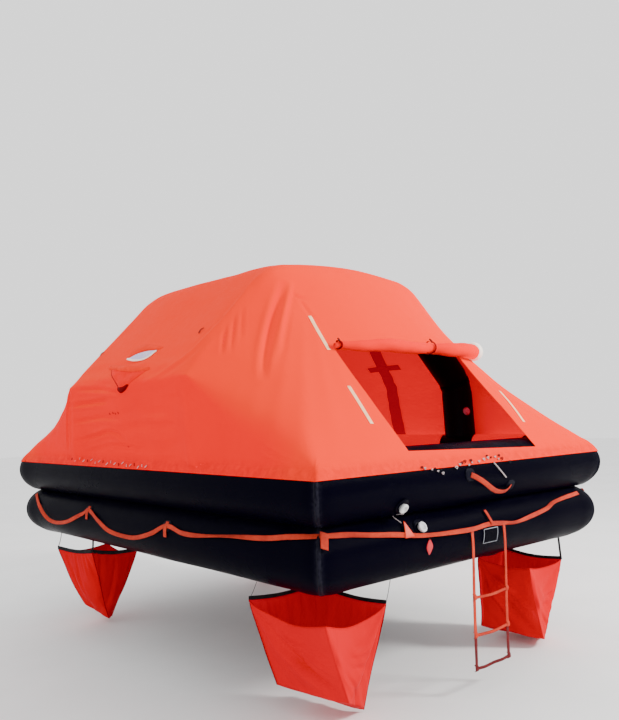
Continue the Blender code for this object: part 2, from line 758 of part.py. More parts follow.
def make_gas_cylinder():
    place, _ = tube_place("lower", "right", 0.0, CYLINDER_ANGLE, CYLINDER_R + 0.006)
    half_profile = ((0, 0.5), (0.35, 0.5), (0.8, 0.46), (1, 0.40))
    profile = half_profile + tuple((across, -along) for across, along in reversed(half_profile))
    mesh = bpy.data.meshes.new("gas_cylinder")
    points = [(CYLINDER_R * across, 0, CYLINDER_LONG * along) for across, along in profile]
    edges = [(index, index + 1) for index in range(len(points) - 1)]
    mesh.from_pydata(points, edges, [])
    cylinder = bpy.data.objects.new("gas_cylinder", mesh)
    bpy.context.scene.collection.objects.link(cylinder)
    turned = cylinder.modifiers.new("turned", "SCREW")
    turned.steps = 24
    turned.render_steps = 24
    turned.use_merge_vertices = True
    turned.merge_threshold = 0.0001
    cylinder.matrix_world = Matrix.Translation(place) @ Matrix.Rotation(pi / 2, 4, "X")
    keep(cylinder, "gas_cylinder", STEEL_GREY)
    return place


def make_cylinder_straps(place, lower_cutter):
    """Two bands round the cylinder, drawn up against the tube."""
    for name, along in (("cylinder_strap_1", -0.15), ("cylinder_strap_2", 0.15)):
        turn = Matrix.Rotation(pi / 2, 3, "X")
        band = disc(name, CYLINDER_R + 0.010, CRADLE_WIDE, place + Vector((0, along, 0)), turn)
        keep(band, name, POUCH_BLACK)
        inner = hide_as_cutter(disc(f"{name}_inside", CYLINDER_R + SEAT_GAP / cos(pi / 24), CRADLE_WIDE * 2,
                                    place + Vector((0, along, 0)), turn))
        boolean(band, inner, "DIFFERENCE")
        boolean(band, lower_cutter, "DIFFERENCE")


# Webbing under the floor, held when the raft is turned over
RIGHTING_HALF = 0.22
RIGHTING_RUNGS = (-0.55, 0.0, 0.55)


def make_righting_straps():
    z = FLOOR_Z - FLOOR_THICK / 2 - SEAT_GAP - WEB_THICK / 2
    long = 2 * (LOWER_X - TUBE_R) - 0.06
    strap = keep(box("righting_straps", (long, 0.04, WEB_THICK), (0, -RIGHTING_HALF, z)), "righting_straps",
                 WEBBING_ORANGE)
    other = hide_as_cutter(box("righting_strap_other", (long, 0.04, WEB_THICK), (0, RIGHTING_HALF, z)))
    boolean(strap, other, "UNION")
    rung_size = (0.04, 2 * RIGHTING_HALF + 0.02, WEB_THICK * 1.5)
    for x in RIGHTING_RUNGS:
        rung = hide_as_cutter(box("righting_rung", rung_size, (x, 0, z - WEB_THICK / 4)))
        boolean(strap, rung, "UNION")
    return strap


# Patches that the painter and a tow line are made fast to, at the rear
TOW_SIZE = (0.14, 0.11, 0.010)
TOW_ANGLE = -32


def make_tow_patches():
    for name, along in (("tow_patch_left", -0.55), ("tow_patch_right", 0.55)):
        keep(tube_box(name, "lower", "rear", along, TOW_ANGLE, TOW_SIZE), name, POUCH_BLACK)


def main():
    upper_cutter = tube_cutter("upper_tube_cutter", UPPER_X, UPPER_Y, UPPER_Z)
    lower_cutter = tube_cutter("lower_tube_cutter", LOWER_X, LOWER_Y, LOWER_Z)
    floor_size = (2 * LOWER_X, 2 * LOWER_Y, FLOOR_THICK + 2 * SEAT_GAP)
    floor_cutter = hide_as_cutter(box("floor_cutter", floor_size, (0, 0, FLOOR_Z)))
    make_tubes()
    make_floor(lower_cutter)
    make_arch("arch_front", -1, upper_cutter)
    make_arch("arch_rear", 1, upper_cutter)
    make_canopy()
    make_cover_roll("cover_roll_front", False)
    make_cover_roll("cover_roll_rear", True)
    for suffix, side in (("left", -1), ("right", 1)):
        make_port(f"viewing_port_{suffix}", side)
        make_pouch(f"rain_pouch_{suffix}", side)
    make_grab_lines()
    make_ladder("ladder_front")
    make_handle("handle_front", "front")
    make_handle("handle_rear", "rear")
    make_valves()
    make_tags()
    make_arch_valves()
    for name, x, y, rim, wide, foot in POCKETS:
        make_pocket(name, x, y, rim, wide, foot, lower_cutter, floor_cutter)
    place = make_gas_cylinder()
    make_cylinder_straps(place, lower_cutter)
    make_righting_straps()
    make_tow_patches()


main()
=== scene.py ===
"""Looks of an inflatable life raft for twelve people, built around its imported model.

Metres, +Z up. The front entrance faces -Y and the origin is on the waterline.
"""
import json
from math import atan2, cos, exp, pi, radians, sin, sqrt

import bmesh
import bpy
import numpy as np
from mathutils import Matrix, Vector, noise
from mathutils.bvhtree import BVHTree

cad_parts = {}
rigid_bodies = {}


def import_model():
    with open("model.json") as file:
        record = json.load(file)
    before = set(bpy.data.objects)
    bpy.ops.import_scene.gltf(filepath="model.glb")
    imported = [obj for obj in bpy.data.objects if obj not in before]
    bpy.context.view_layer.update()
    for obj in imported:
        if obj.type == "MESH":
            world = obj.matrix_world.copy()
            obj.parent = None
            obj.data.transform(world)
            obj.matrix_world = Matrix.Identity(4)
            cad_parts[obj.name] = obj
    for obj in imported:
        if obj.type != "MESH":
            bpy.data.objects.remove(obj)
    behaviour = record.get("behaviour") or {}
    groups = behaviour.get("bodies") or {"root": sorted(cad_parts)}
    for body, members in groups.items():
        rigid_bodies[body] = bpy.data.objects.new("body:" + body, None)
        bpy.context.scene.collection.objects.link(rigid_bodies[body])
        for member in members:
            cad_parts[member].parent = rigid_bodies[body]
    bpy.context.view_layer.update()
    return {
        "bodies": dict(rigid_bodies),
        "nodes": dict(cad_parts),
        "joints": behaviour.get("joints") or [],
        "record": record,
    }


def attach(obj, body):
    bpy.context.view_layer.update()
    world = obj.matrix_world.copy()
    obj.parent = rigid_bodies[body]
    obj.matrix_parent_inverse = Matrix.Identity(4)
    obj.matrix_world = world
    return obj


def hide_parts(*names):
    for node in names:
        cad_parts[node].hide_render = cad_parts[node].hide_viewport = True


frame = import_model()

# Sizes repeated from the part's source
TUBE_R = 0.165
UPPER = (1.010, 1.485, 0.418)
LOWER = (0.973, 1.448, 0.130)
PINCH_Z = 0.274
ARCH_R = 0.106
ARCH_FOOT = np.array((1.048, 0.705, 0.418))
ARCH_KNEE = np.array((1.078, 0.658, 0.946))
ARCH_TOP = np.array((0.543, 0.618, 1.510))
ARCH_CROWN = 0.040
RIDGE_Y = 0.682
ENTRANCE_HALF = 0.525
ENTRANCE_LOW = 0.565
ENTRANCE_HIGH = 1.085
# How much the opening's lower edge falls per metre to the right, as in the photograph
ENTRANCE_TILT = 0.028


# Camera, at the photograph's viewing angle

PHOTO_SIZE = (619, 720)
FOCUS_PX = 722.15
SENSOR_MM = 36
VIEW_PLACE = Vector((-3.1133, -3.8336, 0.7324))
VIEW_TURNS = (41.44, 4.59, -1.75)


def camera_matrix():
    yaw, pitch, roll = (radians(turn) for turn in VIEW_TURNS)
    ahead = Vector((sin(yaw) * cos(pitch), cos(yaw) * cos(pitch), sin(pitch)))
    right = Vector((cos(yaw), -sin(yaw), 0))
    up = right.cross(ahead)
    turned_right = cos(roll) * right + sin(roll) * up
    turned_up = -sin(roll) * right + cos(roll) * up
    matrix = Matrix((turned_right, turned_up, -ahead)).transposed().to_4x4()
    matrix.translation = VIEW_PLACE
    return matrix


camera_data = bpy.data.cameras.new("camera")
camera_data.sensor_width = SENSOR_MM
camera_data.lens = FOCUS_PX / PHOTO_SIZE[1] * SENSOR_MM
camera = bpy.data.objects.new("camera", camera_data)
camera.matrix_world = camera_matrix()
bpy.context.scene.collection.objects.link(camera)
bpy.context.scene.camera = camera


def sight(px, py):
    """The direction in which the camera sees a place of the photograph."""
    across, up = px - PHOTO_SIZE[0] / 2, PHOTO_SIZE[1] / 2 - py
    return (camera_matrix().to_3x3() @ Vector((across / FOCUS_PX, up / FOCUS_PX, -1))).normalized()


def seen_on(tree, px, py):
    """The point of a surface that shows at a place of the photograph, and its normal."""
    direction = sight(px, py)
    hit, normal, _, _ = tree.ray_cast(VIEW_PLACE, direction)
    if hit is None:
        raise ValueError(f"nothing shows at {px}, {py}")
    return hit, normal if normal.dot(direction) < 0 else -normal


# Materials

def node_input(links, socket, value):
    if hasattr(value, "is_output"):
        links.new(value, socket)
    else:
        socket.default_value = value


class Finish:
    """A material's nodes, added one call at a time."""

    def __init__(self, name, roughness, metallic=0.0, specular=0.5):
        self.material = bpy.data.materials.new(name)
        self.material.use_nodes = True
        self.tree = self.material.node_tree
        self.shader = self.tree.nodes["Principled BSDF"]
        self.shader.inputs["Metallic"].default_value = metallic
        self.shader.inputs["Roughness"].default_value = roughness
        self.shader.inputs["Specular IOR Level"].default_value = specular
        self.coords = self.tree.nodes.new("ShaderNodeTexCoord")
        self.height = None

    def node(self, kind, inputs=(), **settings):
        item = self.tree.nodes.new("ShaderNode" + kind)
        for name, value in settings.items():
            setattr(item, name, value)
        for name, value in inputs:
            item.inputs[name].default_value = value
        return item

    def place(self, space, scale=(1, 1, 1)):
        mapping = self.node("Mapping", [("Scale", scale)])
        self.tree.links.new(self.coords.outputs[space], mapping.inputs["Vector"])
        return mapping.outputs["Vector"]

    def noise(self, scale, detail, stretch=(1, 1, 1), distortion=0.0):
        inputs = (("Scale", scale), ("Detail", detail), ("Roughness", 0.55), ("Distortion", distortion))
        item = self.node("TexNoise", inputs)
        self.tree.links.new(self.place("Object", stretch), item.inputs["Vector"])
        return item.outputs["Fac"]

    def wave(self, scale, direction, distortion=0.0):
        inputs = (("Scale", scale), ("Distortion", distortion))
        item = self.node("TexWave", inputs, wave_type="BANDS", bands_direction=direction)
        self.tree.links.new(self.place("UV"), item.inputs["Vector"])
        return item.outputs["Fac"]

    def weave(self, scale):
        """The relief of crossed threads."""
        return self.math("ADD", self.wave(scale, "X"), self.wave(scale, "Y"))

    def attribute(self, name):
        return self.node("Attribute", attribute_name=name).outputs["Fac"]

    def math(self, operation, a, b=0.0, clamp=False):
        item = self.node("Math", operation=operation, use_clamp=clamp)
        node_input(self.tree.links, item.inputs[0], a)
        node_input(self.tree.links, item.inputs[1], b)
        return item.outputs[0]

    def remap(self, value, low, high, out_low=0.0, out_high=1.0):
        inputs = (("From Min", low), ("From Max", high), ("To Min", out_low), ("To Max", out_high))
        item = self.node("MapRange", inputs)
        self.tree.links.new(value, item.inputs["Value"])
        return item.outputs["Result"]

    def mix(self, factor, first, second):
        item = self.node("Mix", data_type="RGBA")
        node_input(self.tree.links, item.inputs[0], factor)
        for socket, value in ((item.inputs[6], first), (item.inputs[7], second)):
            node_input(self.tree.links, socket, (*value, 1.0) if isinstance(value, tuple) else value)
        return item.outputs[2]

    def colour(self, value):
        node_input(self.tree.links, self.shader.inputs["Base Color"], value)

    def rough(self, value):
        self.tree.links.new(value, self.shader.inputs["Roughness"])

    def bump(self, height, distance, strength=1.0):
        """Adds a relief on top of those before."""
        item = self.node("Bump", (("Strength", strength), ("Distance", distance)))
        self.tree.links.new(height, item.inputs["Height"])
        if self.height:
            self.tree.links.new(self.height, item.inputs["Normal"])
        self.height = item.outputs["Normal"]
        self.tree.links.new(self.height, self.shader.inputs["Normal"])


def coated_fabric(name, lit, worn, grime, roughness=0.55, crease=0.0035, glow=0.0, painted_light=None):
    """Fabric with a rubber or plastic coat: mottled, softly creased, finely woven, and grimy where marked.

    glow stands for the daylight that comes through the fabric on its inner side. The last colour is a painted
    sunlit tint, yellower, that is mixed in where the cloth is marked as facing the light.
    """
    finish = Finish(name, roughness, specular=0.012)
    finish.shader.inputs["Emission Color"].default_value = (*lit, 1.0)
    finish.shader.inputs["Emission Strength"].default_value = glow
    cloudy = finish.noise(2.3, 4)
    fine = finish.noise(26, 5, distortion=0.6)
    streaks = finish.noise(7, 3, stretch=(3.5, 3.5, 0.5))
    colour = finish.mix(finish.remap(cloudy, 0.35, 0.72, 0, 0.55), lit, worn)
    colour = finish.mix(finish.remap(streaks, 0.55, 0.8, 0, 0.22), colour, worn)
    # Painted sunlight: a yellower tint where the cloth is marked as facing the light.
    if painted_light:
        colour = finish.mix(finish.attribute("painted_light"), colour, painted_light)
    soiled = finish.math("MULTIPLY", finish.attribute("wear"), finish.remap(fine, 0.3, 0.6, 0.2, 1.0))
    finish.colour(finish.mix(soiled, colour, grime))
    finish.rough(finish.remap(fine, 0.3, 0.7, roughness - 0.08, roughness + 0.1))
    finish.bump(finish.noise(9, 5, distortion=0.9), crease, 0.55)
    finish.bump(finish.noise(38, 4, distortion=0.4), crease * 0.25, 0.5)
    finish.bump(finish.weave(620), 0.00025, 0.5)
    return finish.material


def rubber(name, dark, dust_sheen_colour, roughness=0.27, top_dust_sheen=0.12, specular=0.007):
    """Inflated rubber-coated fabric: near black, scuffed along it, lighter on top with dust and a painted
    highlight.
    """
    finish = Finish(name, roughness, specular=specular)
    scuffs = finish.noise(5, 6, stretch=(1.0, 1.0, 6.0), distortion=0.8)
    cloudy = finish.noise(1.7, 3)
    fine = finish.noise(60, 4)
    up = finish.node("SeparateXYZ")
    finish.tree.links.new(finish.coords.outputs["Normal"], up.inputs[0])
    # Dust and a painted highlight on the faces that look up: the top is lighter.
    top = finish.remap(up.outputs["Z"], 0.55, 1.0, 0, top_dust_sheen)
    top_dust_sheen_streaked = finish.math("MULTIPLY", top, finish.remap(scuffs, 0.42, 0.7, 0.0, 1.0))
    rubbed = finish.math("MULTIPLY", finish.attribute("wear"), finish.remap(fine, 0.35, 0.6, 0.3, 1.0))
    dust_sheen_mask = finish.math("ADD", top_dust_sheen_streaked, finish.remap(scuffs, 0.62, 0.8, 0, 0.03), clamp=True)
    finish.colour(finish.mix(rubbed, finish.mix(dust_sheen_mask, dark, dust_sheen_colour), dust_sheen_colour))
    finish.rough(finish.remap(cloudy, 0.3, 0.7, roughness - 0.07, roughness + 0.12))
    finish.bump(finish.noise(3.2, 4, distortion=0.5), 0.004, 0.5)
    finish.bump(finish.noise(24, 5, distortion=1.2), 0.0008, 0.5)
    finish.bump(finish.weave(520), 0.0002, 0.4)
    return finish.material


def webbing(name, lit, worn, ribs=900.0):
    """Flat woven strap, ribbed along its length and worn on its faces."""
    roughness = 0.75
    finish = Finish(name, roughness, specular=0.15)
    fibres = finish.noise(220, 4)
    cloudy = finish.noise(14, 4)
    rib = finish.wave(ribs, "Y")
    chevron = finish.wave(ribs * 0.6, "DIAGONAL", distortion=0.4)
    colour = finish.mix(finish.remap(cloudy, 0.35, 0.7, 0, 0.8), lit, worn)
    colour = finish.mix(finish.remap(rib, 0.0, 0.5, 0.25, 0.0), colour, worn)
    finish.colour(finish.mix(finish.remap(fibres, 0.55, 0.8, 0, 0.4), colour, worn))
    finish.rough(finish.remap(fibres, 0.3, 0.7, roughness - 0.1, roughness + 0.1))
    finish.bump(finish.math("ADD", rib, chevron), 0.0006, 0.8)
    finish.bump(fibres, 0.0004, 0.5)
    return finish.material


def plastic(name, lit, worn, roughness, grain=140.0):
    """Moulded or coated plastic, slightly stained and finely grained."""
    finish = Finish(name, roughness, specular=0.3)
    cloudy = finish.noise(18, 4)
    fine = finish.noise(grain, 3)
    finish.colour(finish.mix(finish.remap(cloudy, 0.45, 0.75, 0, 0.7), lit, worn))
    finish.rough(finish.remap(fine, 0.3, 0.7, roughness - 0.06, roughness + 0.14))
    finish.bump(fine, 0.0003, 0.5)
    return finish.material


def steel(name, lit, worn):
    """Brushed and stained metal."""
    roughness = 0.34
    finish = Finish(name, roughness, metallic=0.85)
    brushed = finish.noise(30, 4, stretch=(12, 1, 12))
    stains = finish.noise(9, 5, distortion=0.7)
    finish.colour(finish.mix(finish.remap(stains, 0.5, 0.75, 0, 0.6), lit, worn))
    finish.rough(finish.remap(brushed, 0.3, 0.7, roughness - 0.08, roughness + 0.16))
    finish.bump(brushed, 0.0002, 0.4)
    return finish.material


# Outside, a yellower painted sunlit tint goes where the canopy faces the light.
ORANGE = coated_fabric("canopy_outside", (0.96, 0.0012, 0.0003), (0.88, 0.0006, 0.0003), (0.20, 0.004, 0.004),
                       painted_light=(0.96, 0.026, 0.0008))
ORANGE_INSIDE = coated_fabric("canopy_inside", (0.85, 0.001, 0.012), (0.74, 0.001, 0.010),
                              (0.25, 0.002, 0.004),
                              glow=0.55)
LINING = coated_fabric("tube_lining", (0.85, 0.001, 0.012), (0.74, 0.001, 0.010), (0.25, 0.002, 0.004),
                       glow=0.50)
COVER = coated_fabric("rolled_cover", (0.96, 0.004, 0.001), (0.88, 0.002, 0.001), (0.45, 0.02, 0.01))
RED = coated_fabric("pocket_fabric", (0.62, 0.001, 0.008), (0.50, 0.001, 0.007), (0.12, 0.001, 0.003),
                    roughness=0.45,
                    crease=0.006)
DARK_RED = coated_fabric("inner_tape", (0.26, 0.001, 0.010), (0.22, 0.001, 0.008), (0.1, 0.001, 0.003),
                         glow=0.9)
RED_INSIDE = coated_fabric("pocket_inside", (0.62, 0.001, 0.014), (0.50, 0.001, 0.010), (0.12, 0.001, 0.003),
                           glow=0.22)
# Dark red for seams and ties, and for painted shade at the rain flap's spout and edge.
DARK_SEAM_AND_SHADE = coated_fabric("seam_and_shade", (0.16, 0.001, 0.004), (0.10, 0.001, 0.003), (0.05, 0.001, 0.002))
FLOOR_FABRIC = coated_fabric("floor_fabric", (0.60, 0.002, 0.006), (0.48, 0.001, 0.005),
                             (0.14, 0.002, 0.003), glow=0.15)
BLACK_RUBBER = rubber("tube_rubber", (0.0005, 0.0002, 0.0034), (0.045, 0.043, 0.066))
ARCH_RUBBER = rubber("arch_rubber", (0.0016, 0.0006, 0.0035), (0.020, 0.018, 0.026), roughness=0.42,
                     top_dust_sheen=0.2, specular=0.04)
TAPE = rubber("seam_tape", (0.0012, 0.0009, 0.0042), (0.07, 0.07, 0.10), roughness=0.26, top_dust_sheen=0.3,
              specular=0.016)
STRAP = webbing("webbing_orange_red", (0.62, 0.045, 0.014), (0.34, 0.016, 0.008))
SOILED_STRAP = webbing("webbing_soiled", (0.16, 0.010, 0.012), (0.08, 0.005, 0.008))
BLACK_STRAP = webbing("webbing_black", (0.004, 0.003, 0.006), (0.014, 0.012, 0.015))
PALE_CORD = webbing("cord_pale", (0.62, 0.55, 0.55), (0.35, 0.28, 0.28), ribs=1500)
BLACK_CORD = webbing("cord_black", (0.005, 0.004, 0.006), (0.03, 0.025, 0.03), ribs=1500)
REFLECTIVE = plastic("reflective_tape", (1.0, 0.56, 0.30), (0.95, 0.38, 0.17), roughness=0.3, grain=420)
PORT = plastic("port_sleeve", (0.50, 0.42, 0.70), (0.70, 0.62, 0.72), roughness=0.22)
# Pale plastic for the roll's white end, and for the painted highlight along each port's lower edge.
PALE_EDGE_AND_HIGHLIGHT = plastic("pale_edge_and_highlight", (1.0, 0.92, 0.82), (0.95, 0.80, 0.66), roughness=0.22)
WHITE = plastic("valve_cap", (0.60, 0.60, 0.60), (0.40, 0.40, 0.42), roughness=0.4)
PINK = plastic("valve_plug", (0.56, 0.20, 0.36), (0.44, 0.12, 0.24), roughness=0.4)
ORANGE_TAG = plastic("tag_orange", (0.70, 0.035, 0.005), (0.50, 0.02, 0.004), roughness=0.5)
RED_TAG = plastic("tag_crimson", (0.52, 0.004, 0.014), (0.36, 0.003, 0.01), roughness=0.45)
PLATE = rubber("blank_plate", (0.0008, 0.0006, 0.0030), (0.010, 0.010, 0.014))
PLATE_EDGE = plastic("plate_edge", (0.24, 0.25, 0.28), (0.12, 0.12, 0.15), roughness=0.5)
STEEL = steel("cylinder_steel", (0.42, 0.43, 0.44), (0.20, 0.17, 0.15))
BRASS = steel("valve_brass", (0.56, 0.42, 0.20), (0.30, 0.20, 0.10))


# Meshes

def piece(name, verts, faces, materials, uvs=None, slots=None, smooth=True):
    """A mesh object in the scene. uvs are one pair per vertex, in metres."""
    mesh = bpy.data.meshes.new(name)
    mesh.from_pydata([tuple(map(float, v)) for v in verts], [], [tuple(map(int, f)) for f in faces])
    if uvs is not None:
        layer = mesh.uv_layers.new(name="metres")
        corner = np.zeros(len(mesh.loops), dtype=np.int32)
        mesh.loops.foreach_get("vertex_index", corner)
        layer.data.foreach_set("uv", np.asarray(uvs, dtype=np.float32)[corner].ravel())
    for material in materials if isinstance(materials, (list, tuple)) else [materials]:
        mesh.materials.append(material)
    if slots is not None:
        mesh.polygons.foreach_set("material_index", np.asarray(slots, dtype=np.int32))
    mesh.polygons.foreach_set("use_smooth", [smooth] * len(mesh.polygons))
    item = bpy.data.objects.new(name, mesh)
    bpy.context.scene.collection.objects.link(item)
    return item


def belongs(item, slot=None, *nodes):
    """The piece rides on the raft and stands for CAD nodes, which it hides; slot is not used."""
    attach(item, "root")
    if nodes:
        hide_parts(*nodes)
    return item


def points_of(verts):
    return np.array([vert.co for vert in verts])


def set_points(verts, points):
    for vert, point in zip(verts, points):
        vert.co = point


def mark(item, name, values):
    """Gives the vertices a number each that a material reads, or all the same one."""
    layer = item.data.attributes.new(name, "FLOAT", "POINT")
    values = np.broadcast_to(np.asarray(values, dtype=np.float32), len(item.data.vertices))
    layer.data.foreach_set("value", np.ascontiguousarray(values))


def mark_wear(item, values):
    """How worn or grimy each vertex is, from 0 to 1."""
    mark(item, "wear", values)


def mark_painted_light(item, points, rise):
    """How much painted sunlight each vertex takes: most where the cloth faces up and on the front and rear
    facets, least low on the side walls.
    """
    x, y, z = np.abs(points).T
    ahead = np.clip((y - 1.22) / 0.26, 0, 1)
    rise = np.maximum(rise, 0.54 * ahead)
    low = np.clip((x - 1.00) / 0.08, 0, 1) * np.clip((0.77 - z) / 0.15, 0, 1) * (1 - ahead)
    mark(item, "painted_light", np.clip((rise - 0.10) / 0.55, 0, 1) * (0.75 + 0.25 * np.clip(z, 0, 1)) * (1 - low))


def grid_faces(rows, columns, wrap=False, offset=0):
    faces = []
    for row in range(rows - 1):
        for column in range(columns if wrap else columns - 1):
            after = (column + 1) % columns
            a, b = row * columns + column, row * columns + after
            faces.append((offset + a, offset + b, offset + b + columns, offset + a + columns))
    return faces


def grid_uvs(grid):
    """Lengths along both directions of a grid of points, in metres."""
    across = np.linalg.norm(np.diff(grid, axis=1), axis=2).mean(axis=0)
    down = np.linalg.norm(np.diff(grid, axis=0), axis=2).mean(axis=1)
    u = np.concatenate(([0], np.cumsum(across)))
    v = np.concatenate(([0], np.cumsum(down)))
    return np.stack(np.meshgrid(u, v), axis=-1).reshape(-1, 2)


def lengths_along(path):
    """How far along a line each of its points lies."""
    return np.concatenate(([0], np.cumsum(np.linalg.norm(np.diff(path, axis=0), axis=1))))


def recalculated(item, weld=0.0):
    """The same piece with its faces turned outward, and points closer than weld made one."""
    bm = bmesh.new()
    bm.from_mesh(item.data)
    if weld:
        bmesh.ops.remove_doubles(bm, verts=bm.verts, dist=weld)
    bmesh.ops.recalc_face_normals(bm, faces=bm.faces)
    bm.to_mesh(item.data)
    bm.free()
    return item


def slab(name, grid, thickness, material, normals=None, bevel=0.6):
    """A sheet given as a grid of points, with a thickness and thinned edges."""
    grid = np.asarray(grid, dtype=float)
    rows, columns = grid.shape[:2]
    if normals is None:
        along = np.gradient(grid, axis=0)
        across = np.gradient(grid, axis=1)
        normals = np.cross(across, along)
        normals /= np.maximum(np.linalg.norm(normals, axis=2, keepdims=True), 1e-9)
    ease = np.ones((rows, columns))
    ease[0, :] = ease[-1, :] = bevel
    ease[:, 0] = bevel
    ease[:, -1] = bevel
    top = grid + normals * (thickness * ease)[..., None]
    verts = np.concatenate((grid.reshape(-1, 3), top.reshape(-1, 3)))
    count = rows * columns
    faces = [face[::-1] for face in grid_faces(rows, columns)]
    faces += grid_faces(rows, columns, offset=count)
    rim = list(range(columns))
    rim += [row * columns + columns - 1 for row in range(1, rows)]
    rim += [(rows - 1) * columns + column for column in range(columns - 2, -1, -1)]
    rim += [row * columns for row in range(rows - 2, 0, -1)]
    for here, there in zip(rim, rim[1:] + rim[:1]):
        faces.append((here, there, there + count, here + count))
    uvs = grid_uvs(grid)
    return recalculated(piece(name, verts, faces, material, np.concatenate((uvs, uvs))))


def smooth_path(points, steps=8):
    """Points on a smooth curve through the given ones."""
    points = [np.asarray(p, dtype=float) for p in points]
    padded = [2 * points[0] - points[1]] + points + [2 * points[-1] - points[-2]]
    path = []
    for a, b, c, d in zip(padded, padded[1:], padded[2:], padded[3:]):
        for step in range(steps):
            t = step / steps
            path.append(0.5 * (2 * b + (c - a) * t + (2 * a - 5 * b + 4 * c - d) * t * t
                               + (3 * b - a - 3 * c + d) * t ** 3))
    path.append(points[-1])
    return np.array(path)


def even_path(path, spacing):
    """The same line with points at even distances."""
    path = np.asarray(path, dtype=float)
    lengths = lengths_along(path)
    count = max(2, int(round(lengths[-1] / spacing)) + 1)
    wanted = np.linspace(0, lengths[-1], count)
    return np.stack([np.interp(wanted, lengths, path[:, axis]) for axis in range(path.shape[1])], axis=1)


def unit(vectors):
    vectors = np.asarray(vectors, dtype=float)
    return vectors / np.maximum(np.linalg.norm(vectors, axis=-1, keepdims=True), 1e-9)


def path_frames(path, normals=None):
    """Tangent, outward and sideways directions at each point of a path."""
    tangents = unit(np.gradient(path, axis=0))
    if normals is None:
        start = Vector(tangents[0]).orthogonal().normalized()
        outs = [np.array(start)]
        for tangent in tangents[1:]:
            out = outs[-1] - tangent * np.dot(outs[-1], tangent)
            outs.append(out / np.linalg.norm(out))
        outs = np.array(outs)
    else:
        normals = np.asarray(normals, dtype=float)
        outs = unit(normals - tangents * np.sum(normals * tangents, axis=1, keepdims=True))
    return tangents, outs, np.cross(tangents, outs)


def sweep(name, path, section, material, normals=None, scale=None):
    """A closed section, as sideways and outward distances, carried along a path."""
    path = np.asarray(path, dtype=float)
    section = np.asarray(section, dtype=float)
    _, outs, sides = path_frames(path, normals)
    scale = np.ones(len(path)) if scale is None else np.asarray(scale, dtype=float)
    rings = path[:, None] + scale[:, None, None] * (sides[:, None] * section[None, :, :1]
                                                    + outs[:, None] * section[None, :, 1:])
    rows, columns = rings.shape[:2]
    faces = grid_faces(rows, columns, wrap=True)
    faces += [tuple(range(columns))[::-1], tuple((rows - 1) * columns + c for c in range(columns))]
    uvs = np.stack(np.meshgrid(lengths_along(section), lengths_along(path)), axis=-1).reshape(-1, 2)
    return piece(name, rings.reshape(-1, 3), faces, material, uvs)


def round_section(radius, sides=12):
    return [(radius * cos(2 * pi * k / sides), radius * sin(2 * pi * k / sides)) for k in range(sides)]


def strap_section(width, thick):
    """A flat strap's section, resting on its underside, with rounded edges."""
    half, edge = width / 2, thick / 2
    return [(-half + edge, 0), (-half, edge), (-half + edge, thick), (-half * 0.35, thick * 1.06),
            (half * 0.35, thick * 1.06), (half - edge, thick), (half, edge), (half - edge, 0)]


def strap(name, path, normals, width, thick, material):
    return sweep(name, path, strap_section(width, thick), material, normals)


def cord(name, path, radius, material, sides=10):
    return sweep(name, path, round_section(radius, sides), material)


def lathe(name, profile, place, normal, material, sides=40, wobble=0.0, turn=(1, 0, 0)):
    """A turned piece: a profile of radius and height, its axis on the normal."""
    axis = Vector(normal).normalized()
    side = axis.cross(Vector(turn)).normalized()
    other = side.cross(axis)
    verts = []
    for radius, height in profile:
        for k in range(sides):
            angle = 2 * pi * k / sides
            reach = radius * (1 + wobble * cos(angle * sides / 4))
            verts.append(Vector(place) + axis * height + (side * cos(angle) + other * sin(angle)) * reach)
    faces = [face[::-1] for face in grid_faces(len(profile), sides, wrap=True)]
    faces += [tuple(range(sides)), tuple((len(profile) - 1) * sides + k for k in range(sides))[::-1]]
    return recalculated(piece(name, verts, faces, material), weld=0.00002)


def joined(name, items):
    """One object from several of one material or more."""
    first = items[0]
    with bpy.context.temp_override(active_object=first, selected_editable_objects=items, object=first,
                                   selected_objects=items):
        bpy.ops.object.join()
    first.name = name
    return first


# Buoyancy tubes

def tube_point(ring, side, along, angle, out=0.0):
    """A point out from a tube's face at an angle in degrees above level."""
    half_x, half_y, height = ring
    level, rise = cos(radians(angle)), sin(radians(angle))
    reach = TUBE_R + out
    if side in ("front", "rear"):
        sign = -1 if side == "front" else 1
        return np.array((along, sign * (half_y + reach * level), height + reach * rise))
    sign = -1 if side == "left" else 1
    return np.array((sign * (half_x + reach * level), along, height + reach * rise))


def tube_spot(ring, side, px, py):
    """Where a place of the photograph falls on a tube's front or left side: how far along, and what angle."""
    axis = 1 if side == "front" else 0
    start, ray = np.array(VIEW_PLACE), np.array(sight(px, py))
    out, up = -start[axis] - ring[axis], start[2] - ring[2]
    closing, rising = -ray[axis], ray[2]
    square, half = closing ** 2 + rising ** 2, out * closing + up * rising
    reach = (-half - sqrt(max(0.0, half * half - square * (out * out + up * up - TUBE_R ** 2)))) / square
    angle = atan2(up + rising * reach, out + closing * reach)
    return float(start[1 - axis] + ray[1 - axis] * reach), float(np.degrees(angle))


def tube_normal(side, angle):
    level, rise = cos(radians(angle)), sin(radians(angle))
    return np.array({"front": (0, -level, rise), "rear": (0, level, rise),
                     "left": (-level, 0, rise), "right": (level, 0, rise)}[side])


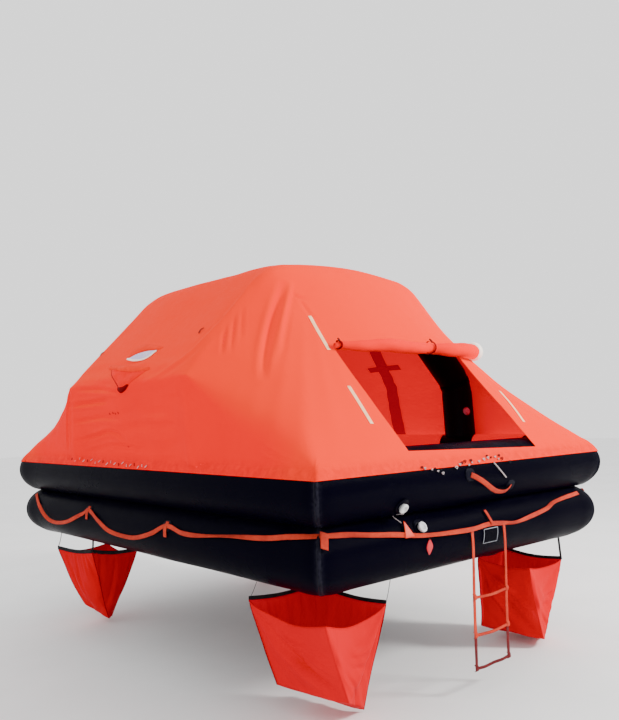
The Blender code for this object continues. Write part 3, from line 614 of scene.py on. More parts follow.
def make_tube(name, ring, seed):
    """A mitred ring of inflated tube, drawn in at its corner seams and slightly uneven."""
    half_x, half_y, height = ring
    sides = 80
    directions = (((1, 0), (0, 1), half_x, half_y), ((0, 1), (-1, 0), half_y, half_x),
                  ((-1, 0), (0, -1), half_x, half_y), ((0, -1), (1, 0), half_y, half_x))
    loops, wear = [], []
    for index, (out, along, half_out, half_along) in enumerate(directions):
        steps = 64 if half_along > half_out else 48
        for step in range(steps):
            share = -cos(pi * step / steps)
            loop = []
            for k in range(sides):
                angle = 2 * pi * k / sides
                end = half_along + TUBE_R * cos(angle)
                place = share * end
                gap = end - abs(place)
                swell = 0.0022 * noise.noise((place * 2.2, index * 7.0 + seed, angle * 1.3))
                pinch = 0.0050 * exp(-(gap / 0.030) ** 2) - 0.0025 * exp(-((gap - 0.09) / 0.06) ** 2)
                pucker = 0.0016 * sin(angle * 17 + index) * exp(-gap / 0.055) * (cos(angle) < 0.5)
                radius = TUBE_R - 0.0012 + swell - pinch + pucker
                reach = half_out + radius * cos(angle)
                z = height + radius * sin(angle)
                if ring is UPPER:
                    z = max(z, PINCH_Z + 0.0002)
                else:
                    z = min(z, PINCH_Z - 0.0002)
                loop.append((out[0] * reach + along[0] * place, out[1] * reach + along[1] * place, z))
                wear.append(0.35 * exp(-(gap / 0.02) ** 2))
            loops.append(loop)
    grid = np.array(loops)
    faces = grid_faces(len(grid), sides, wrap=True)
    last = (len(grid) - 1) * sides
    faces += [(last + k, last + (k + 1) % sides, (k + 1) % sides, k) for k in range(sides)]
    around = np.arange(sides) * (2 * pi * TUBE_R / sides)
    uvs = np.stack(np.meshgrid(around, lengths_along(grid[:, 0])), axis=-1).reshape(-1, 2)
    item = piece(name, grid.reshape(-1, 3), faces, BLACK_RUBBER, uvs)
    mark_wear(item, wear)
    return belongs(item, "tube_black", name.replace("_inflated", ""))


def make_corner_tapes(name, ring):
    """Seam tape round each mitred corner."""
    half_x, half_y, height = ring
    parts = []
    for sign_x, sign_y in ((1, 1), (-1, 1), (-1, -1), (1, -1)):
        grid = []
        for k in range(61):
            angle = 2 * pi * k / 60
            low, high = (PINCH_Z, 9) if ring is UPPER else (-9, PINCH_Z)
            row = []
            for offset in (-0.014, -0.012, -0.006, 0.0, 0.006, 0.012, 0.014):
                lift = 0.0002 if abs(offset) > 0.013 else 0.0016
                radius = TUBE_R - 0.0012 - 0.0050 * exp(-(abs(offset) / 0.030) ** 2) + lift + 0.0015
                x = half_x + radius * cos(angle) + min(0, offset)
                y = half_y + radius * cos(angle) - max(0, offset)
                z = min(max(height + radius * sin(angle), low + 0.0004), high - 0.0004)
                row.append((sign_x * x, sign_y * y, z))
            grid.append(row)
        grid = np.array(grid)
        if sign_x * sign_y < 0:
            grid = grid[:, ::-1]
        parts.append(piece(f"{name}_part", grid.reshape(-1, 3), grid_faces(61, 7), TAPE, grid_uvs(grid)))
    tape = joined(name, parts)
    mark_wear(tape, 0.12)
    return belongs(tape, "tube_black")


def tube_patch(name, ring, side, along, angle, wide, tall, thick, material=TAPE, slot="tube_black",
               out=0.0002):
    """A patch with rounded corners stuck on a tube, sized along it and round it."""
    rows, columns = 9, 9
    grid = np.zeros((rows, columns, 3))
    normals = np.zeros((rows, columns, 3))
    for row in range(rows):
        for column in range(columns):
            u = 2 * column / (columns - 1) - 1
            v = 2 * row / (rows - 1) - 1
            squeeze_u = 1 - 0.25 * abs(v) ** 4
            squeeze_v = 1 - 0.25 * abs(u) ** 4
            turn = angle + np.degrees(v * squeeze_v * tall / 2 / TUBE_R)
            grid[row, column] = tube_point(ring, side, along + u * squeeze_u * wide / 2, turn, out)
            normals[row, column] = tube_normal(side, turn)
    item = slab(name, grid, thick, material, normals, bevel=0.35)
    mark_wear(item, 0.08)
    return belongs(item, slot)


make_tube("upper_tube_inflated", UPPER, 1.0)
make_tube("lower_tube_inflated", LOWER, 5.0)
make_corner_tapes("upper_corner_tapes", UPPER)
make_corner_tapes("lower_corner_tapes", LOWER)


# Arches

def arch_line():
    """Centre line of the rear arch from its right foot to its left one."""
    foot, knee, top, middle = ARCH_FOOT, ARCH_KNEE, ARCH_TOP, ARCH_TOP * (0, 1, 1)

    def bend(corner, before, after, reach):
        start = corner + unit(before - corner) * reach
        end = corner + unit(after - corner) * reach
        return [start * (1 - t) ** 2 + corner * 2 * t * (1 - t) + end * t * t for t in np.linspace(0, 1, 7)]

    half = [foot + (foot - knee) * 0.02]
    half += [foot + (knee - foot) * t for t in np.linspace(0.12, 0.72, 6)]
    half += bend(knee, foot, top, 0.085)
    half += [knee + (top - knee) * t for t in (0.35, 0.5, 0.65)]
    half += bend(top, knee, middle, 0.085)
    reach = half[-1][0]
    half += [middle + (reach * share, 0, 0) for share in (0.75, 0.5, 0.25)]
    for point in half:
        point[2] += ARCH_CROWN * max(0, 1 - (point[0] / top[0]) ** 2)
    return np.array(half + [middle + (0, 0, ARCH_CROWN)] + [point * (-1, 1, 1) for point in reversed(half)])


ARCH_LINE = arch_line()


def make_arch(name, side):
    """An inflated arch with mitre seams at its bends."""
    line = even_path(ARCH_LINE * (1, side, 1), 0.018)
    tangents = unit(np.gradient(line, axis=0))
    bend = np.linalg.norm(np.gradient(tangents, axis=0), axis=1)
    section = round_section(1.0, 44)
    scale = ARCH_R - 0.0015 - 0.006 * np.minimum(1, bend / 0.22) * (bend > 0.08)
    item = sweep(name + "_inflated", line, section, ARCH_RUBBER, scale=scale)
    mark_wear(item, 0.0)
    belongs(item, "arch_black", name)
    bands = []
    for corner in (ARCH_KNEE, ARCH_TOP):
        for mirror in (1, -1):
            place = np.argmin(np.linalg.norm(line - corner * (mirror, side, 1), axis=1))
            part = line[place - 1:place + 2]
            bands.append(sweep(f"{name}_band_part", part, round_section(ARCH_R - 0.0005, 44), TAPE))
    belongs(joined(f"{name}_seam_bands", bands), "arch_black")


make_arch("arch_front", -1)
make_arch("arch_rear", 1)


# Canopy: one sheet drawn taut over both arches down to the upper tube

HIP_SAG = 0.145
KNEE_SAG = 0.045
SHEET_OUT = 0.0055
SHEET_THICK = 0.0022
# Facets beyond this lie in front of the front arch or behind the rear one
FACET_Y = 0.8


def corner_out(before, corner, after, distance):
    """Where two lines of a profile meet after both move out by distance."""
    normals = [np.array((step[1], -step[0])) for step in (unit(corner - before), unit(after - corner))]
    middle = unit(normals[0] + normals[1])
    return corner + middle * distance / np.dot(middle, normals[0])


def sagging(start, end, sag, rows):
    t = np.linspace(0, 1, rows + 1)[:, None]
    return start * (1 - t) + end * t + np.array((-1, -1, 0)) / sqrt(2) * sag * 4 * t * (1 - t)


def between(first, second, columns):
    shares = np.linspace(0, 1, columns + 1)[:, None, None]
    return first[None] * (1 - shares) + second[None] * shares


def canopy_quarter(rows=88, facet=58, hip=40, wall=34):
    """Grids of points over the quarter of the canopy where X and Y are above zero."""
    reach = ARCH_R + SHEET_OUT
    foot, knee, top = (corner[[0, 2]] for corner in (ARCH_FOOT, ARCH_KNEE, ARCH_TOP))
    knee_2d = corner_out(foot, knee, top, reach)
    top_2d = corner_out(knee, top, top * (0, 1), reach)
    rings = []
    for angle in (40, 35, 30, 25, 20.5):
        out = (TUBE_R + 0.0024) * cos(radians(angle))
        rings.append((out, UPPER[2] + (TUBE_R + 0.0024) * sin(radians(angle))))
    out, skirt_z = rings[0]
    knee = np.array((knee_2d[0], RIDGE_Y, knee_2d[1]))
    top = np.array((top_2d[0], RIDGE_Y, top_2d[1]))
    corner = np.array((UPPER[0] + out, UPPER[1] + out, skirt_z))
    wall_foot = np.array((UPPER[0] + out, RIDGE_Y, skirt_z))
    to_middle, to_centre = np.array((1, 0, 1)), np.array((0, 1, 1))
    lines = []
    for t in np.linspace(0, 1, facet + 1):
        head = top * to_centre * (1 - t) + top * t + np.array((0, 0, ARCH_CROWN * (1 - t * t)))
        lines.append(sagging(head, corner * to_centre * (1 - t) + corner * t, HIP_SAG * t * t, rows))
    front = np.array(lines)
    crease = sagging(knee, corner, KNEE_SAG, rows)
    wall_line = sagging(knee, wall_foot, 0, rows)
    shoulder_line = sagging(top, knee, 0, hip)
    grids = [front, between(front[-1], crease, hip), between(crease, wall_line, hip)]
    grids += [between(line, line * to_middle, wall) for line in (wall_line, shoulder_line, front[:, 0])]
    skirt = []
    for out, z in rings:
        ring = [front[:, -1] * (1, 0, 0) + np.array((0, UPPER[1] + out, z))]
        ring[0][:, 0] *= (UPPER[0] + out) / (UPPER[0] + rings[0][0])
        side = between(crease, wall_line, hip)[:, -1] * (0, 1, 0) + np.array((UPPER[0] + out, 0, z))
        side[:, 1] = side[0, 1] + (side[:, 1] - side[0, 1])
        side[:, 1] = np.where(side[:, 1] > RIDGE_Y, RIDGE_Y + (side[:, 1] - RIDGE_Y)
                              * (UPPER[1] + out - RIDGE_Y) / (UPPER[1] + rings[0][0] - RIDGE_Y), side[:, 1])
        middle_part = between(wall_line, wall_line * to_middle, wall)[:, -1] * (0, 1, 0)
        ring += [side[1:], (middle_part + np.array((UPPER[0] + out, 0, z)))[1:]]
        skirt.append(np.concatenate(ring))
    return grids, np.array(skirt)


def whole_canopy():
    """All four quarters welded, as a bmesh whose skirt vertices are marked."""
    grids, skirt = canopy_quarter()
    verts, faces, fixed = [], [], []
    for sign in ((1, 1, 1), (-1, 1, 1), (-1, -1, 1), (1, -1, 1)):
        for grid in grids + [skirt]:
            start = len(verts)
            verts += [tuple(point) for point in (grid * sign).reshape(-1, 3)]
            fixed += [grid is skirt] * (grid.shape[0] * grid.shape[1])
            faces += grid_faces(*grid.shape[:2], offset=start)
    bm = bmesh.new()
    mark = bm.verts.layers.int.new("fixed")
    made = [bm.verts.new(v) for v in verts]
    for vert, flag in zip(made, fixed):
        vert[mark] = int(flag)
    for face in faces:
        bm.faces.new([made[i] for i in face])
    held = {tuple(round(c, 4) for c in v.co) for v in bm.verts if v[mark]}
    bmesh.ops.remove_doubles(bm, verts=bm.verts, dist=0.0003)
    bmesh.ops.dissolve_degenerate(bm, dist=0.0002, edges=bm.edges)
    bmesh.ops.recalc_face_normals(bm, faces=bm.faces)
    bm.verts.ensure_lookup_table()
    flags = np.array([tuple(round(c, 4) for c in v.co) in held or v[mark] for v in bm.verts], dtype=bool)
    return bm, flags


def out_of_arches(points, reach):
    """Moves points that lie in an arch's tube out to its face."""
    for side in (1, -1):
        line = even_path(ARCH_LINE * (1, side, 1), 0.02)
        near = np.where((np.abs(points[:, 1] - side * 0.65) < 0.25) & (points[:, 2] > 0.5))[0]
        for part in np.array_split(near, max(1, len(near) // 4000)):
            apart = points[part][:, None] - line[None]
            gaps = np.linalg.norm(apart, axis=2)
            nearest = gaps.argmin(axis=1)
            gap = gaps[np.arange(len(part)), nearest]
            inside = gap < reach
            away = apart[np.arange(len(part)), nearest][inside]
            points[part[inside]] += away * (reach / np.maximum(gap[inside], 1e-6) - 1)[:, None]
    return points


def off_tube(points, reach):
    """Moves points that lie in the upper tube out to its face."""
    half_x, half_y, height = UPPER
    aside = np.abs(points[:, 0]) - half_x
    ahead = np.abs(points[:, 1]) - half_y
    over = points[:, 2] - height
    wider = aside > ahead
    across = np.where(wider, aside, ahead)
    gap = np.hypot(across, over)
    inside = (gap < reach) & (over > 0)
    grow = reach / np.maximum(gap, 1e-6)
    for axis, half, rows in ((0, half_x, inside & wider), (1, half_y, inside & ~wider)):
        points[rows, axis] = np.sign(points[rows, axis]) * (half + across[rows] * grow[rows])
    points[inside, 2] = height + over[inside] * grow[inside]
    return points


def relaxed(bm, flags, rounds=(60, 260), share=0.6):
    """Lets the sheet round its folds, most over the hips, while the skirt and the arches hold it."""
    points = points_of(bm.verts)
    hips = np.clip((np.abs(points[:, 1]) - 0.70) / 0.10, 0, 1)
    hips *= np.clip((np.abs(points[:, 0]) - 0.42) / 0.22, 0, 1)
    edges = np.array([(e.verts[0].index, e.verts[1].index) for e in bm.edges])
    count = np.bincount(edges.ravel(), minlength=len(points)).astype(float)
    free = ~flags
    for turn in range(sum(rounds)):
        pull = share if turn < rounds[0] else share * hips[free][:, None]
        total = np.zeros_like(points)
        for axis in range(3):
            total[:, axis] = (np.bincount(edges[:, 0], points[edges[:, 1], axis], len(points))
                              + np.bincount(edges[:, 1], points[edges[:, 0], axis], len(points)))
        average = total / count[:, None]
        points[free] += pull * (average[free] - points[free])
        if turn % 6 == 5:
            points = out_of_arches(points, ARCH_R + 0.0030)
            points[free] = off_tube(points[free], TUBE_R + 0.0040)
    return out_of_arches(points, ARCH_R + 0.0030)


def normals_of(bm):
    bm.normal_update()
    return np.array([v.normal for v in bm.verts])


def smooth_noise(points, scale, seed):
    return np.array([noise.noise(Vector(p) * scale + Vector((seed, 0, 0))) for p in points])


def distance_to(points, line):
    """How far each point is from a line, and how far along it the nearest place is, from 0 to 1."""
    best = np.full(len(points), 9.0)
    place = np.zeros(len(points))
    lengths = lengths_along(line)
    for index, (start, end) in enumerate(zip(line, line[1:])):
        along = end - start
        t = np.clip(((points - start) @ along) / max(along @ along, 1e-9), 0, 1)
        gap = np.linalg.norm(points - start - t[:, None] * along, axis=1)
        closer = gap < best
        best[closer] = gap[closer]
        place[closer] = (lengths[index] + t[closer] * (lengths[index + 1] - lengths[index])) / lengths[-1]
    return best, place


# Creases seen in the photograph: places along each, height of the fold, half width
CREASES = (
    (((262, 270), (240, 299), (216, 327), (187, 356), (160, 374), (140, 388)), 0.007, 0.020),
    (((283, 285), (277, 305), (271, 326), (266, 350), (263, 376)), -0.020, 0.022),
    (((291, 284), (286, 305), (281, 330), (277, 356)), 0.010, 0.016),
    (((227, 316), (222, 354)), -0.008, 0.010),
    (((236, 308), (231, 352)), -0.006, 0.009),
    (((243, 302), (241, 340)), -0.004, 0.009),
    (((292, 294), (300, 298), (309, 300)), -0.008, 0.010),
    (((300, 300), (308, 312), (318, 322)), -0.005, 0.012),
    (((70, 406), (92, 403), (106, 401)), -0.018, 0.014),
    (((72, 423), (100, 418), (120, 420)), -0.011, 0.013),
    (((74, 442), (96, 436), (110, 432), (126, 440)), -0.016, 0.013),
    (((76, 390), (100, 390), (122, 394)), -0.011, 0.013),
    (((84, 454), (112, 446), (150, 452)), -0.009, 0.015),
    (((128, 428), (160, 424), (186, 432)), -0.006, 0.020),
    (((140, 404), (176, 398), (200, 408)), -0.005, 0.022),
    (((70, 394), (69, 412), (68.5, 430), (69, 450)), -0.020, 0.018),
    (((158, 326), (172, 318), (186, 320)), -0.006, 0.012),
    (((170, 310), (186, 304), (206, 306)), -0.006, 0.012),
    (((150, 342), (168, 338), (184, 342)), -0.005, 0.013),
    (((262, 448), (284, 462), (300, 470)), -0.006, 0.012),
    (((300, 468), (322, 462), (346, 464)), -0.004, 0.012),
)


def wrinkled(bm, points, flags):
    """Adds soft unevenness, puckers over the hem, slack wrinkles on the walls and the creases seen."""
    set_points(bm.verts, points)
    normals = normals_of(bm)
    x, y, z = points.T
    above = np.clip(z - 0.53, 0, None)
    free = 1 - np.exp(-(above / 0.035) ** 2)
    soft = smooth_noise(points * (1, 1, 0.7), 2.1, 3.1) * 0.010 + smooth_noise(points, 5.5, 9.7) * 0.0034
    around = np.where(np.abs(x) / UPPER[0] > np.abs(y) / UPPER[1], y, x)
    pucker = np.sin(around * 64 + 7 * smooth_noise(points, 2.2, 4.4)) * 0.5 + 0.5
    pucker *= 0.0009 * np.exp(-above / 0.07) * (0.4 + smooth_noise(points * (1, 1, 0), 3.0, 2.2))
    side_wall = np.clip((np.abs(x) - 1.02) / 0.08, 0, 1) * np.clip((0.66 - np.abs(y)) / 0.15, 0, 1)
    slack = np.sin(z * 62 + 2.6 * smooth_noise(points * (1, 1.3, 0.4), 3.0, 7.3) + y * 3)
    slack = side_wall * slack * 0.0050 * (0.6 + smooth_noise(points, 4.0, 5.5))
    hips = np.exp(-((np.abs(x) * 0.75 - (np.abs(y) - 0.55)) / 0.30) ** 2) * np.clip((1.35 - z) / 0.5, 0, 1)
    drawn = hips * np.sin(np.arctan2(np.abs(y) - 0.60, np.abs(x) - 0.30) * 46) * 0.0016
    shift = (soft + pucker + slack + drawn) * free
    bm.verts.index_update()
    tree = BVHTree.FromBMesh(bm)
    for pixels, height, half in CREASES:
        line = even_path(smooth_path([seen_on(tree, *pixel)[0] for pixel in pixels], 6), 0.02)
        gap, place = distance_to(points, line)
        taper = np.clip(np.sin(np.clip(place, 0.02, 0.98) * pi), 0, 1) ** 0.6
        fold = np.exp(-(gap / half) ** 2) - 0.45 * np.exp(-((gap - 1.7 * half) / half) ** 2)
        shift += height * taper * fold * free
    shift[flags] = 0
    points = out_of_arches(points + normals * shift[:, None], ARCH_R + 0.0025)
    points[~flags] = off_tube(points[~flags], TUBE_R + 0.0040)
    return points


def canopy_panel(name, points, normals, faces):
    """One panel of the sheet, with its inner side and rims, that shades as one with its neighbours."""
    used = np.unique(np.concatenate([np.array(face) for face in faces]))
    place = dict(zip(used.tolist(), range(len(used))))
    outer = [tuple(place[index] for index in face) for face in faces]
    count = len(used)
    inner = [tuple(index + count for index in reversed(face)) for face in outer]
    sides = {side for face in outer for side in zip(face, face[1:] + face[:1])}
    rims = sorted((b, a, a + count, b + count) for a, b in sides if (b, a) not in sides)
    points, normals = points[used], normals[used]
    both = np.concatenate((points, points - normals * SHEET_THICK))
    x, y, z = both.T
    uvs = np.stack((x + y * np.tanh(4 * x), z - np.abs(x)), axis=1)
    slots = [0] * len(outer) + [1] * len(inner) + [0] * len(rims)
    item = piece(name + "_sheet", both, outer + inner + rims, [ORANGE, ORANGE_INSIDE], uvs, slots)
    facing = np.concatenate((normals, -normals))
    loops = [facing[index] for face in outer + inner for index in face]
    for face in item.data.polygons[len(outer) + len(inner):]:
        loops += [np.array(face.normal)] * 4
    item.data.normals_split_custom_set(loops)
    mark_wear(item, 0.22 * np.exp(-np.clip(z - 0.515, 0, None) / 0.016))
    mark_painted_light(item, both, np.tile(normals[:, 2], 2))
    return belongs(item, "canopy_orange", name)


def cut_entrances(bm):
    """Cuts the openings out of the front and rear facets along their four edges."""
    for place, normal in (((ENTRANCE_HALF, 0, 0), (1, 0, 0)), ((-ENTRANCE_HALF, 0, 0), (1, 0, 0)),
                          ((-ENTRANCE_HALF, 0, ENTRANCE_LOW), (ENTRANCE_TILT, 0, 1)),
                          ((0, 0, ENTRANCE_HIGH), (0, 0, 1))):
        ends = [face for face in bm.faces if abs(face.calc_center_median().y) > FACET_Y]
        geometry = list({*ends, *(e for f in ends for e in f.edges), *(v for f in ends for v in f.verts)})
        bmesh.ops.bisect_plane(bm, geom=geometry, plane_co=place, plane_no=normal, dist=0.0008)
    gone = []
    for face in bm.faces:
        centre = face.calc_center_median()
        low = ENTRANCE_LOW - ENTRANCE_TILT * (centre.x + ENTRANCE_HALF)
        if abs(centre.y) > FACET_Y and abs(centre.x) < ENTRANCE_HALF and low < centre.z < ENTRANCE_HIGH:
            gone.append(face)
    bmesh.ops.delete(bm, geom=gone, context="FACES")


def make_canopy():
    """The three panels; gives the whole sheet before it was cut, to set things against, and their areas."""
    bm, flags = whole_canopy()
    points = wrinkled(bm, relaxed(bm, flags), flags)
    set_points(bm.verts, points)
    tree = BVHTree.FromBMesh(bm)
    cut_entrances(bm)
    bmesh.ops.recalc_face_normals(bm, faces=bm.faces)
    highest = max(bm.faces, key=lambda face: face.calc_center_median().z)
    if highest.normal.z < 0:
        bmesh.ops.reverse_faces(bm, faces=bm.faces)
    seam = RIDGE_Y - 0.005
    points, normals = points_of(bm.verts), normals_of(bm)
    middles = np.array([face.calc_center_median().y for face in bm.faces])
    corners = [tuple(v.index for v in face.verts) for face in bm.faces]
    sizes = np.array([face.calc_area() for face in bm.faces])
    areas = {}
    for name, keep in (("canopy_front", middles < -seam), ("canopy_middle", np.abs(middles) <= seam),
                       ("canopy_rear", middles > seam)):
        areas[name] = float(sizes[keep].sum())
        canopy_panel(name, points, normals, [corners[index] for index in np.where(keep)[0]])
    bm.free()
    return tree, areas


CANOPY, CANOPY_AREAS = make_canopy()


def on_front(x, z, side):
    """A point of the canopy's front or rear facet and its outward normal."""
    hit, normal, _, _ = CANOPY.ray_cast(Vector((x, side * 2.5, z)), Vector((0, -side, 0)))
    return hit, normal if normal.y * side > 0 else -normal


def band_on_facet(name, stops, width, thick, material, side, lift=0.0004):
    """A flat band lying on a facet along straight runs between (x, z) stops."""
    line = even_path([(x, 0, z) for x, z in stops], 0.012)
    found = [on_front(x, z, side) for x, _, z in line]
    points = np.array([np.array(hit) + np.array(normal) * lift for hit, normal in found])
    return strap(name, points, [normal for _, normal in found], width, thick, material)


# Ends of the reflective strips as places of the photograph
REFLECTIVE_STRIPS = (((309.5, 316), (329, 350)), ((348.5, 386), (372, 424)), ((499.5, 391), (524, 422)))


def make_entrance_trim(name, side):
    """A hem over the opening and reflective strips beside and above it."""
    stops = ((-ENTRANCE_HALF - 0.028, ENTRANCE_HIGH + 0.013), (ENTRANCE_HALF + 0.028, ENTRANCE_HIGH + 0.013))
    belongs(band_on_facet(f"{name}_hem", stops, 0.026, 0.0016, COVER, side), "canopy_orange")
    strips = []
    for pixels in REFLECTIVE_STRIPS:
        ends = [seen_on(CANOPY, *pixel)[0] for pixel in pixels]
        stops = [(-side * end.x, end.z) for end in ends]
        strips.append(band_on_facet(f"{name}_strip_part", stops, 0.022, 0.0009, REFLECTIVE, side,
                                    lift=0.0010))
    belongs(joined(f"{name}_reflective_strips", strips), "port_white")


make_entrance_trim("entrance_front", -1)
make_entrance_trim("entrance_rear", 1)


# Entrance covers, rolled up and tied along the head of each opening

ROLL_Z = 1.092
ROLL_TIES = (-0.50, 0.18)
# X of places along the roll and its radius there
ROLL_STOPS = ((-0.53, 0.016), (-0.50, 0.020), (-0.38, 0.034), (-0.20, 0.042), (-0.02, 0.041), (0.14, 0.034),
              (0.20, 0.032), (0.30, 0.043), (0.50, 0.051), (0.66, 0.053), (0.74, 0.049))


def roll_line(side):
    """X of the places along the roll, its middle line, the facet's normals there and the roll's radii."""
    stops = np.array(ROLL_STOPS)
    xs = np.linspace(stops[0, 0], stops[-1, 0], 96)
    radii = np.interp(xs, stops[:, 0], stops[:, 1])
    for _ in range(4):
        radii[1:-1] = (radii[:-2] + 2 * radii[1:-1] + radii[2:]) / 4
    path, normals = [], []
    for x, radius in zip(xs, radii):
        tie = exp(-((x - 0.18) / 0.10) ** 2) + exp(-((x + 0.50) / 0.08) ** 2)
        z = ROLL_Z + 0.012 * tie - 0.006 + 0.004 * noise.noise((x * 5, side, 0.3))
        hit, normal = on_front(x * -side, z, side)
        path.append(np.array(hit) + np.array(normal) * (radius + 0.0025))
        normals.append(np.array(normal))
    return xs, np.array(path), normals, radii


def rolled_section():
    """The spiral of cloth that shows at the end of a roll whose radius is one."""
    turns, steps, thick = 2.6, 78, 0.075
    outer, inner = [], []
    for k in range(steps + 1):
        share = k / steps
        angle = 2 * pi * turns * share - 2.2
        radius = 1.0 - 0.62 * share
        outer.append((radius * cos(angle), radius * sin(angle)))
        inner.append(((radius - thick) * cos(angle), (radius - thick) * sin(angle)))
    return outer + inner[::-1]


def roll_tie(name, middle, out, along, radius):
    """A band round a roll and the toggle that holds it."""
    up = np.cross(along, out)
    loop = []
    for k in range(29):
        angle = 2 * pi * k / 28
        loop.append((out * sin(angle) + up * cos(angle)) * (radius + 0.004) + along * 0.006 * sin(angle * 2))
    section = [(-0.006, -0.001), (0.006, -0.001), (0.006, 0.001), (-0.006, 0.001)]
    band = sweep(f"{name}_tie_part", middle + loop, section, DARK_SEAM_AND_SHADE, loop)
    knot = middle - up * (radius * 0.75) + out * (radius * 0.75 + 0.004)
    bar = smooth_path([knot - up * 0.014, knot + out * 0.003, knot + up * 0.014], 4)
    return [band, cord(f"{name}_toggle", bar, 0.0042, BLACK_CORD, 10)]


def make_roll(name, side):
    """A cover rolled up over its opening, tied twice, with a white edge at one end."""
    xs, path, normals, radii = roll_line(side)
    section = rolled_section()
    item = sweep(name + "_rolled", path, section, COVER, normals, radii)
    co = points_of(item.data.vertices)
    ripple = smooth_noise(co * (2.2, 8, 8), 3.0, 11.0) * 0.0045
    ripple += smooth_noise(co * (7, 3, 3), 3.0, 21.0) * 0.0020
    away = unit(co - np.repeat(path, len(section), axis=0))
    set_points(item.data.vertices, co + away * ripple[:, None])
    mark_wear(item, 0.05)
    belongs(item, "cover_orange", name)
    ties = []
    for x in ROLL_TIES:
        index = int(np.argmin(np.abs(xs - x)))
        along = unit(path[index + 1] - path[index - 1])
        ties += roll_tie(name, path[index], normals[index], along, radii[index])
    belongs(joined(f"{name}_ties", ties), "pouch_black")
    end = len(path) - 1
    ahead = unit(path[end] - path[end - 1])
    cuff = [*path[end - 6:], path[end] + ahead * 0.008, path[end] + ahead * 0.013]
    grow = (-0.003, 0.004, 0.007, 0.007, 0.007, 0.007, 0.006, 0.002, -0.018)
    scale = [radii[min(end, end - 6 + index)] + more for index, more in enumerate(grow)]
    facing = [*normals[end - 6:], normals[-1], normals[-1]]
    belongs(sweep(f"{name}_end", cuff, round_section(1.0, 36), PALE_EDGE_AND_HIGHLIGHT, facing, scale), "port_white")


make_roll("cover_roll_front", -1)
make_roll("cover_roll_rear", 1)


# Ports, rain pouches and small marks on the shoulders and walls

def on_side(y, z, side):
    """A point of a shoulder or side wall and its outward normal."""
    hit, normal, _, _ = CANOPY.ray_cast(Vector((side * 2.5, y, z)), Vector((-side, 0, 0)))
    return np.array(hit), np.array(normal if normal.x * side > 0 else -normal)


def on_shoulder(pixels):
    """Y and Z of the places of the canopy that show at pixels of the photograph."""
    return [tuple(seen_on(CANOPY, *pixel)[0][1:]) for pixel in pixels]


def shoulder_line(pixels, side, steps=6, spacing=None):
    """Points and normals of a shoulder or wall along a smooth curve through places of the photograph."""
    line = smooth_path([(y, z, 0) for y, z in on_shoulder(pixels)], steps)
    if spacing:
        line = even_path(line, spacing)
    found = [on_side(y, z, side) for y, z, _ in line]
    return np.array([point for point, _ in found]), np.array([normal for _, normal in found])


def shoulder_patch(name, outlines, side, material, rise, folds=0.0, painted_light=None):
    """A soft patch on a shoulder between a lower and an upper outline, given as places of the photograph."""
    rows, columns = 14, 22
    edges = []
    for outline in outlines:
        line = even_path(smooth_path([(y, z, 0) for y, z in on_shoulder(outline)], 6), 0.001)
        edges.append(line[[int(t * (len(line) - 1)) for t in np.linspace(0, 1, columns)]])
    low, high = edges
    grid = np.zeros((rows, columns, 3))
    for row, v in enumerate(np.linspace(0, 1, rows)):
        for column, u in enumerate(np.linspace(0, 1, columns)):
            y, z = (low[column] * (1 - v) + high[column] * v)[:2]
            point, normal = on_side(y, z, side)
            swell = (4 * v * (1 - v)) ** 0.6 * (4 * u * (1 - u)) ** 0.5
            ruck = folds * sin(u * 21 + v * 5) * swell
            grid[row, column] = point + normal * (0.0006 + rise * swell + ruck)
    item = slab(name, grid, 0.0012, material)
    mark_wear(item, 0.12)
    # Painted sunlight, by how the shoulder under the patch faces, unless an amount is given.
    if painted_light is None:
        points = points_of(item.data.vertices)
        mark_painted_light(item, points, np.array([on_side(point[1], point[2], side)[1][2] for point in points]))
    else:
        mark(item, "painted_light", painted_light)
    return item


# Outlines on the left shoulder as places of the photograph, lower edge and then upper edge
PORT_LENS = (((128, 359.5), (136, 361), (147, 358.5), (157, 351)),
             ((128, 359.5), (138, 354), (148, 351), (157, 350.3)))
PORT_HOOD = (((127, 359), (138, 353.5), (148, 350.5), (160, 349.5)),
             ((126, 358), (136, 348), (148, 344.5), (164, 347)))
POUCH_FOLD = (((109, 369.5), (122, 372), (136, 372.5), (149, 370)),
              ((109, 365.5), (122, 366), (136, 367), (150, 367.5)))
POUCH_FLAP = (((112, 371), (117, 384), (121, 391), (127, 386), (138, 377)),
              ((112, 369), (120, 371), (128, 371.5), (137, 371.5), (147, 370)))
POUCH_TIP = (((118, 390.5), (121, 393), (125, 390.5), (128.5, 385)),
             ((118, 387), (121, 386), (124, 386), (128, 384)))
SHOULDER_TIES = (((199.4, 333.5), (201.5, 331), (203.6, 328.6)), ((100.6, 356), (102.6, 354), (104.4, 352.6)))
STITCHES = ((110, 413.8), (113.2, 413.0), (115.6, 413.6), (118.4, 413.0))


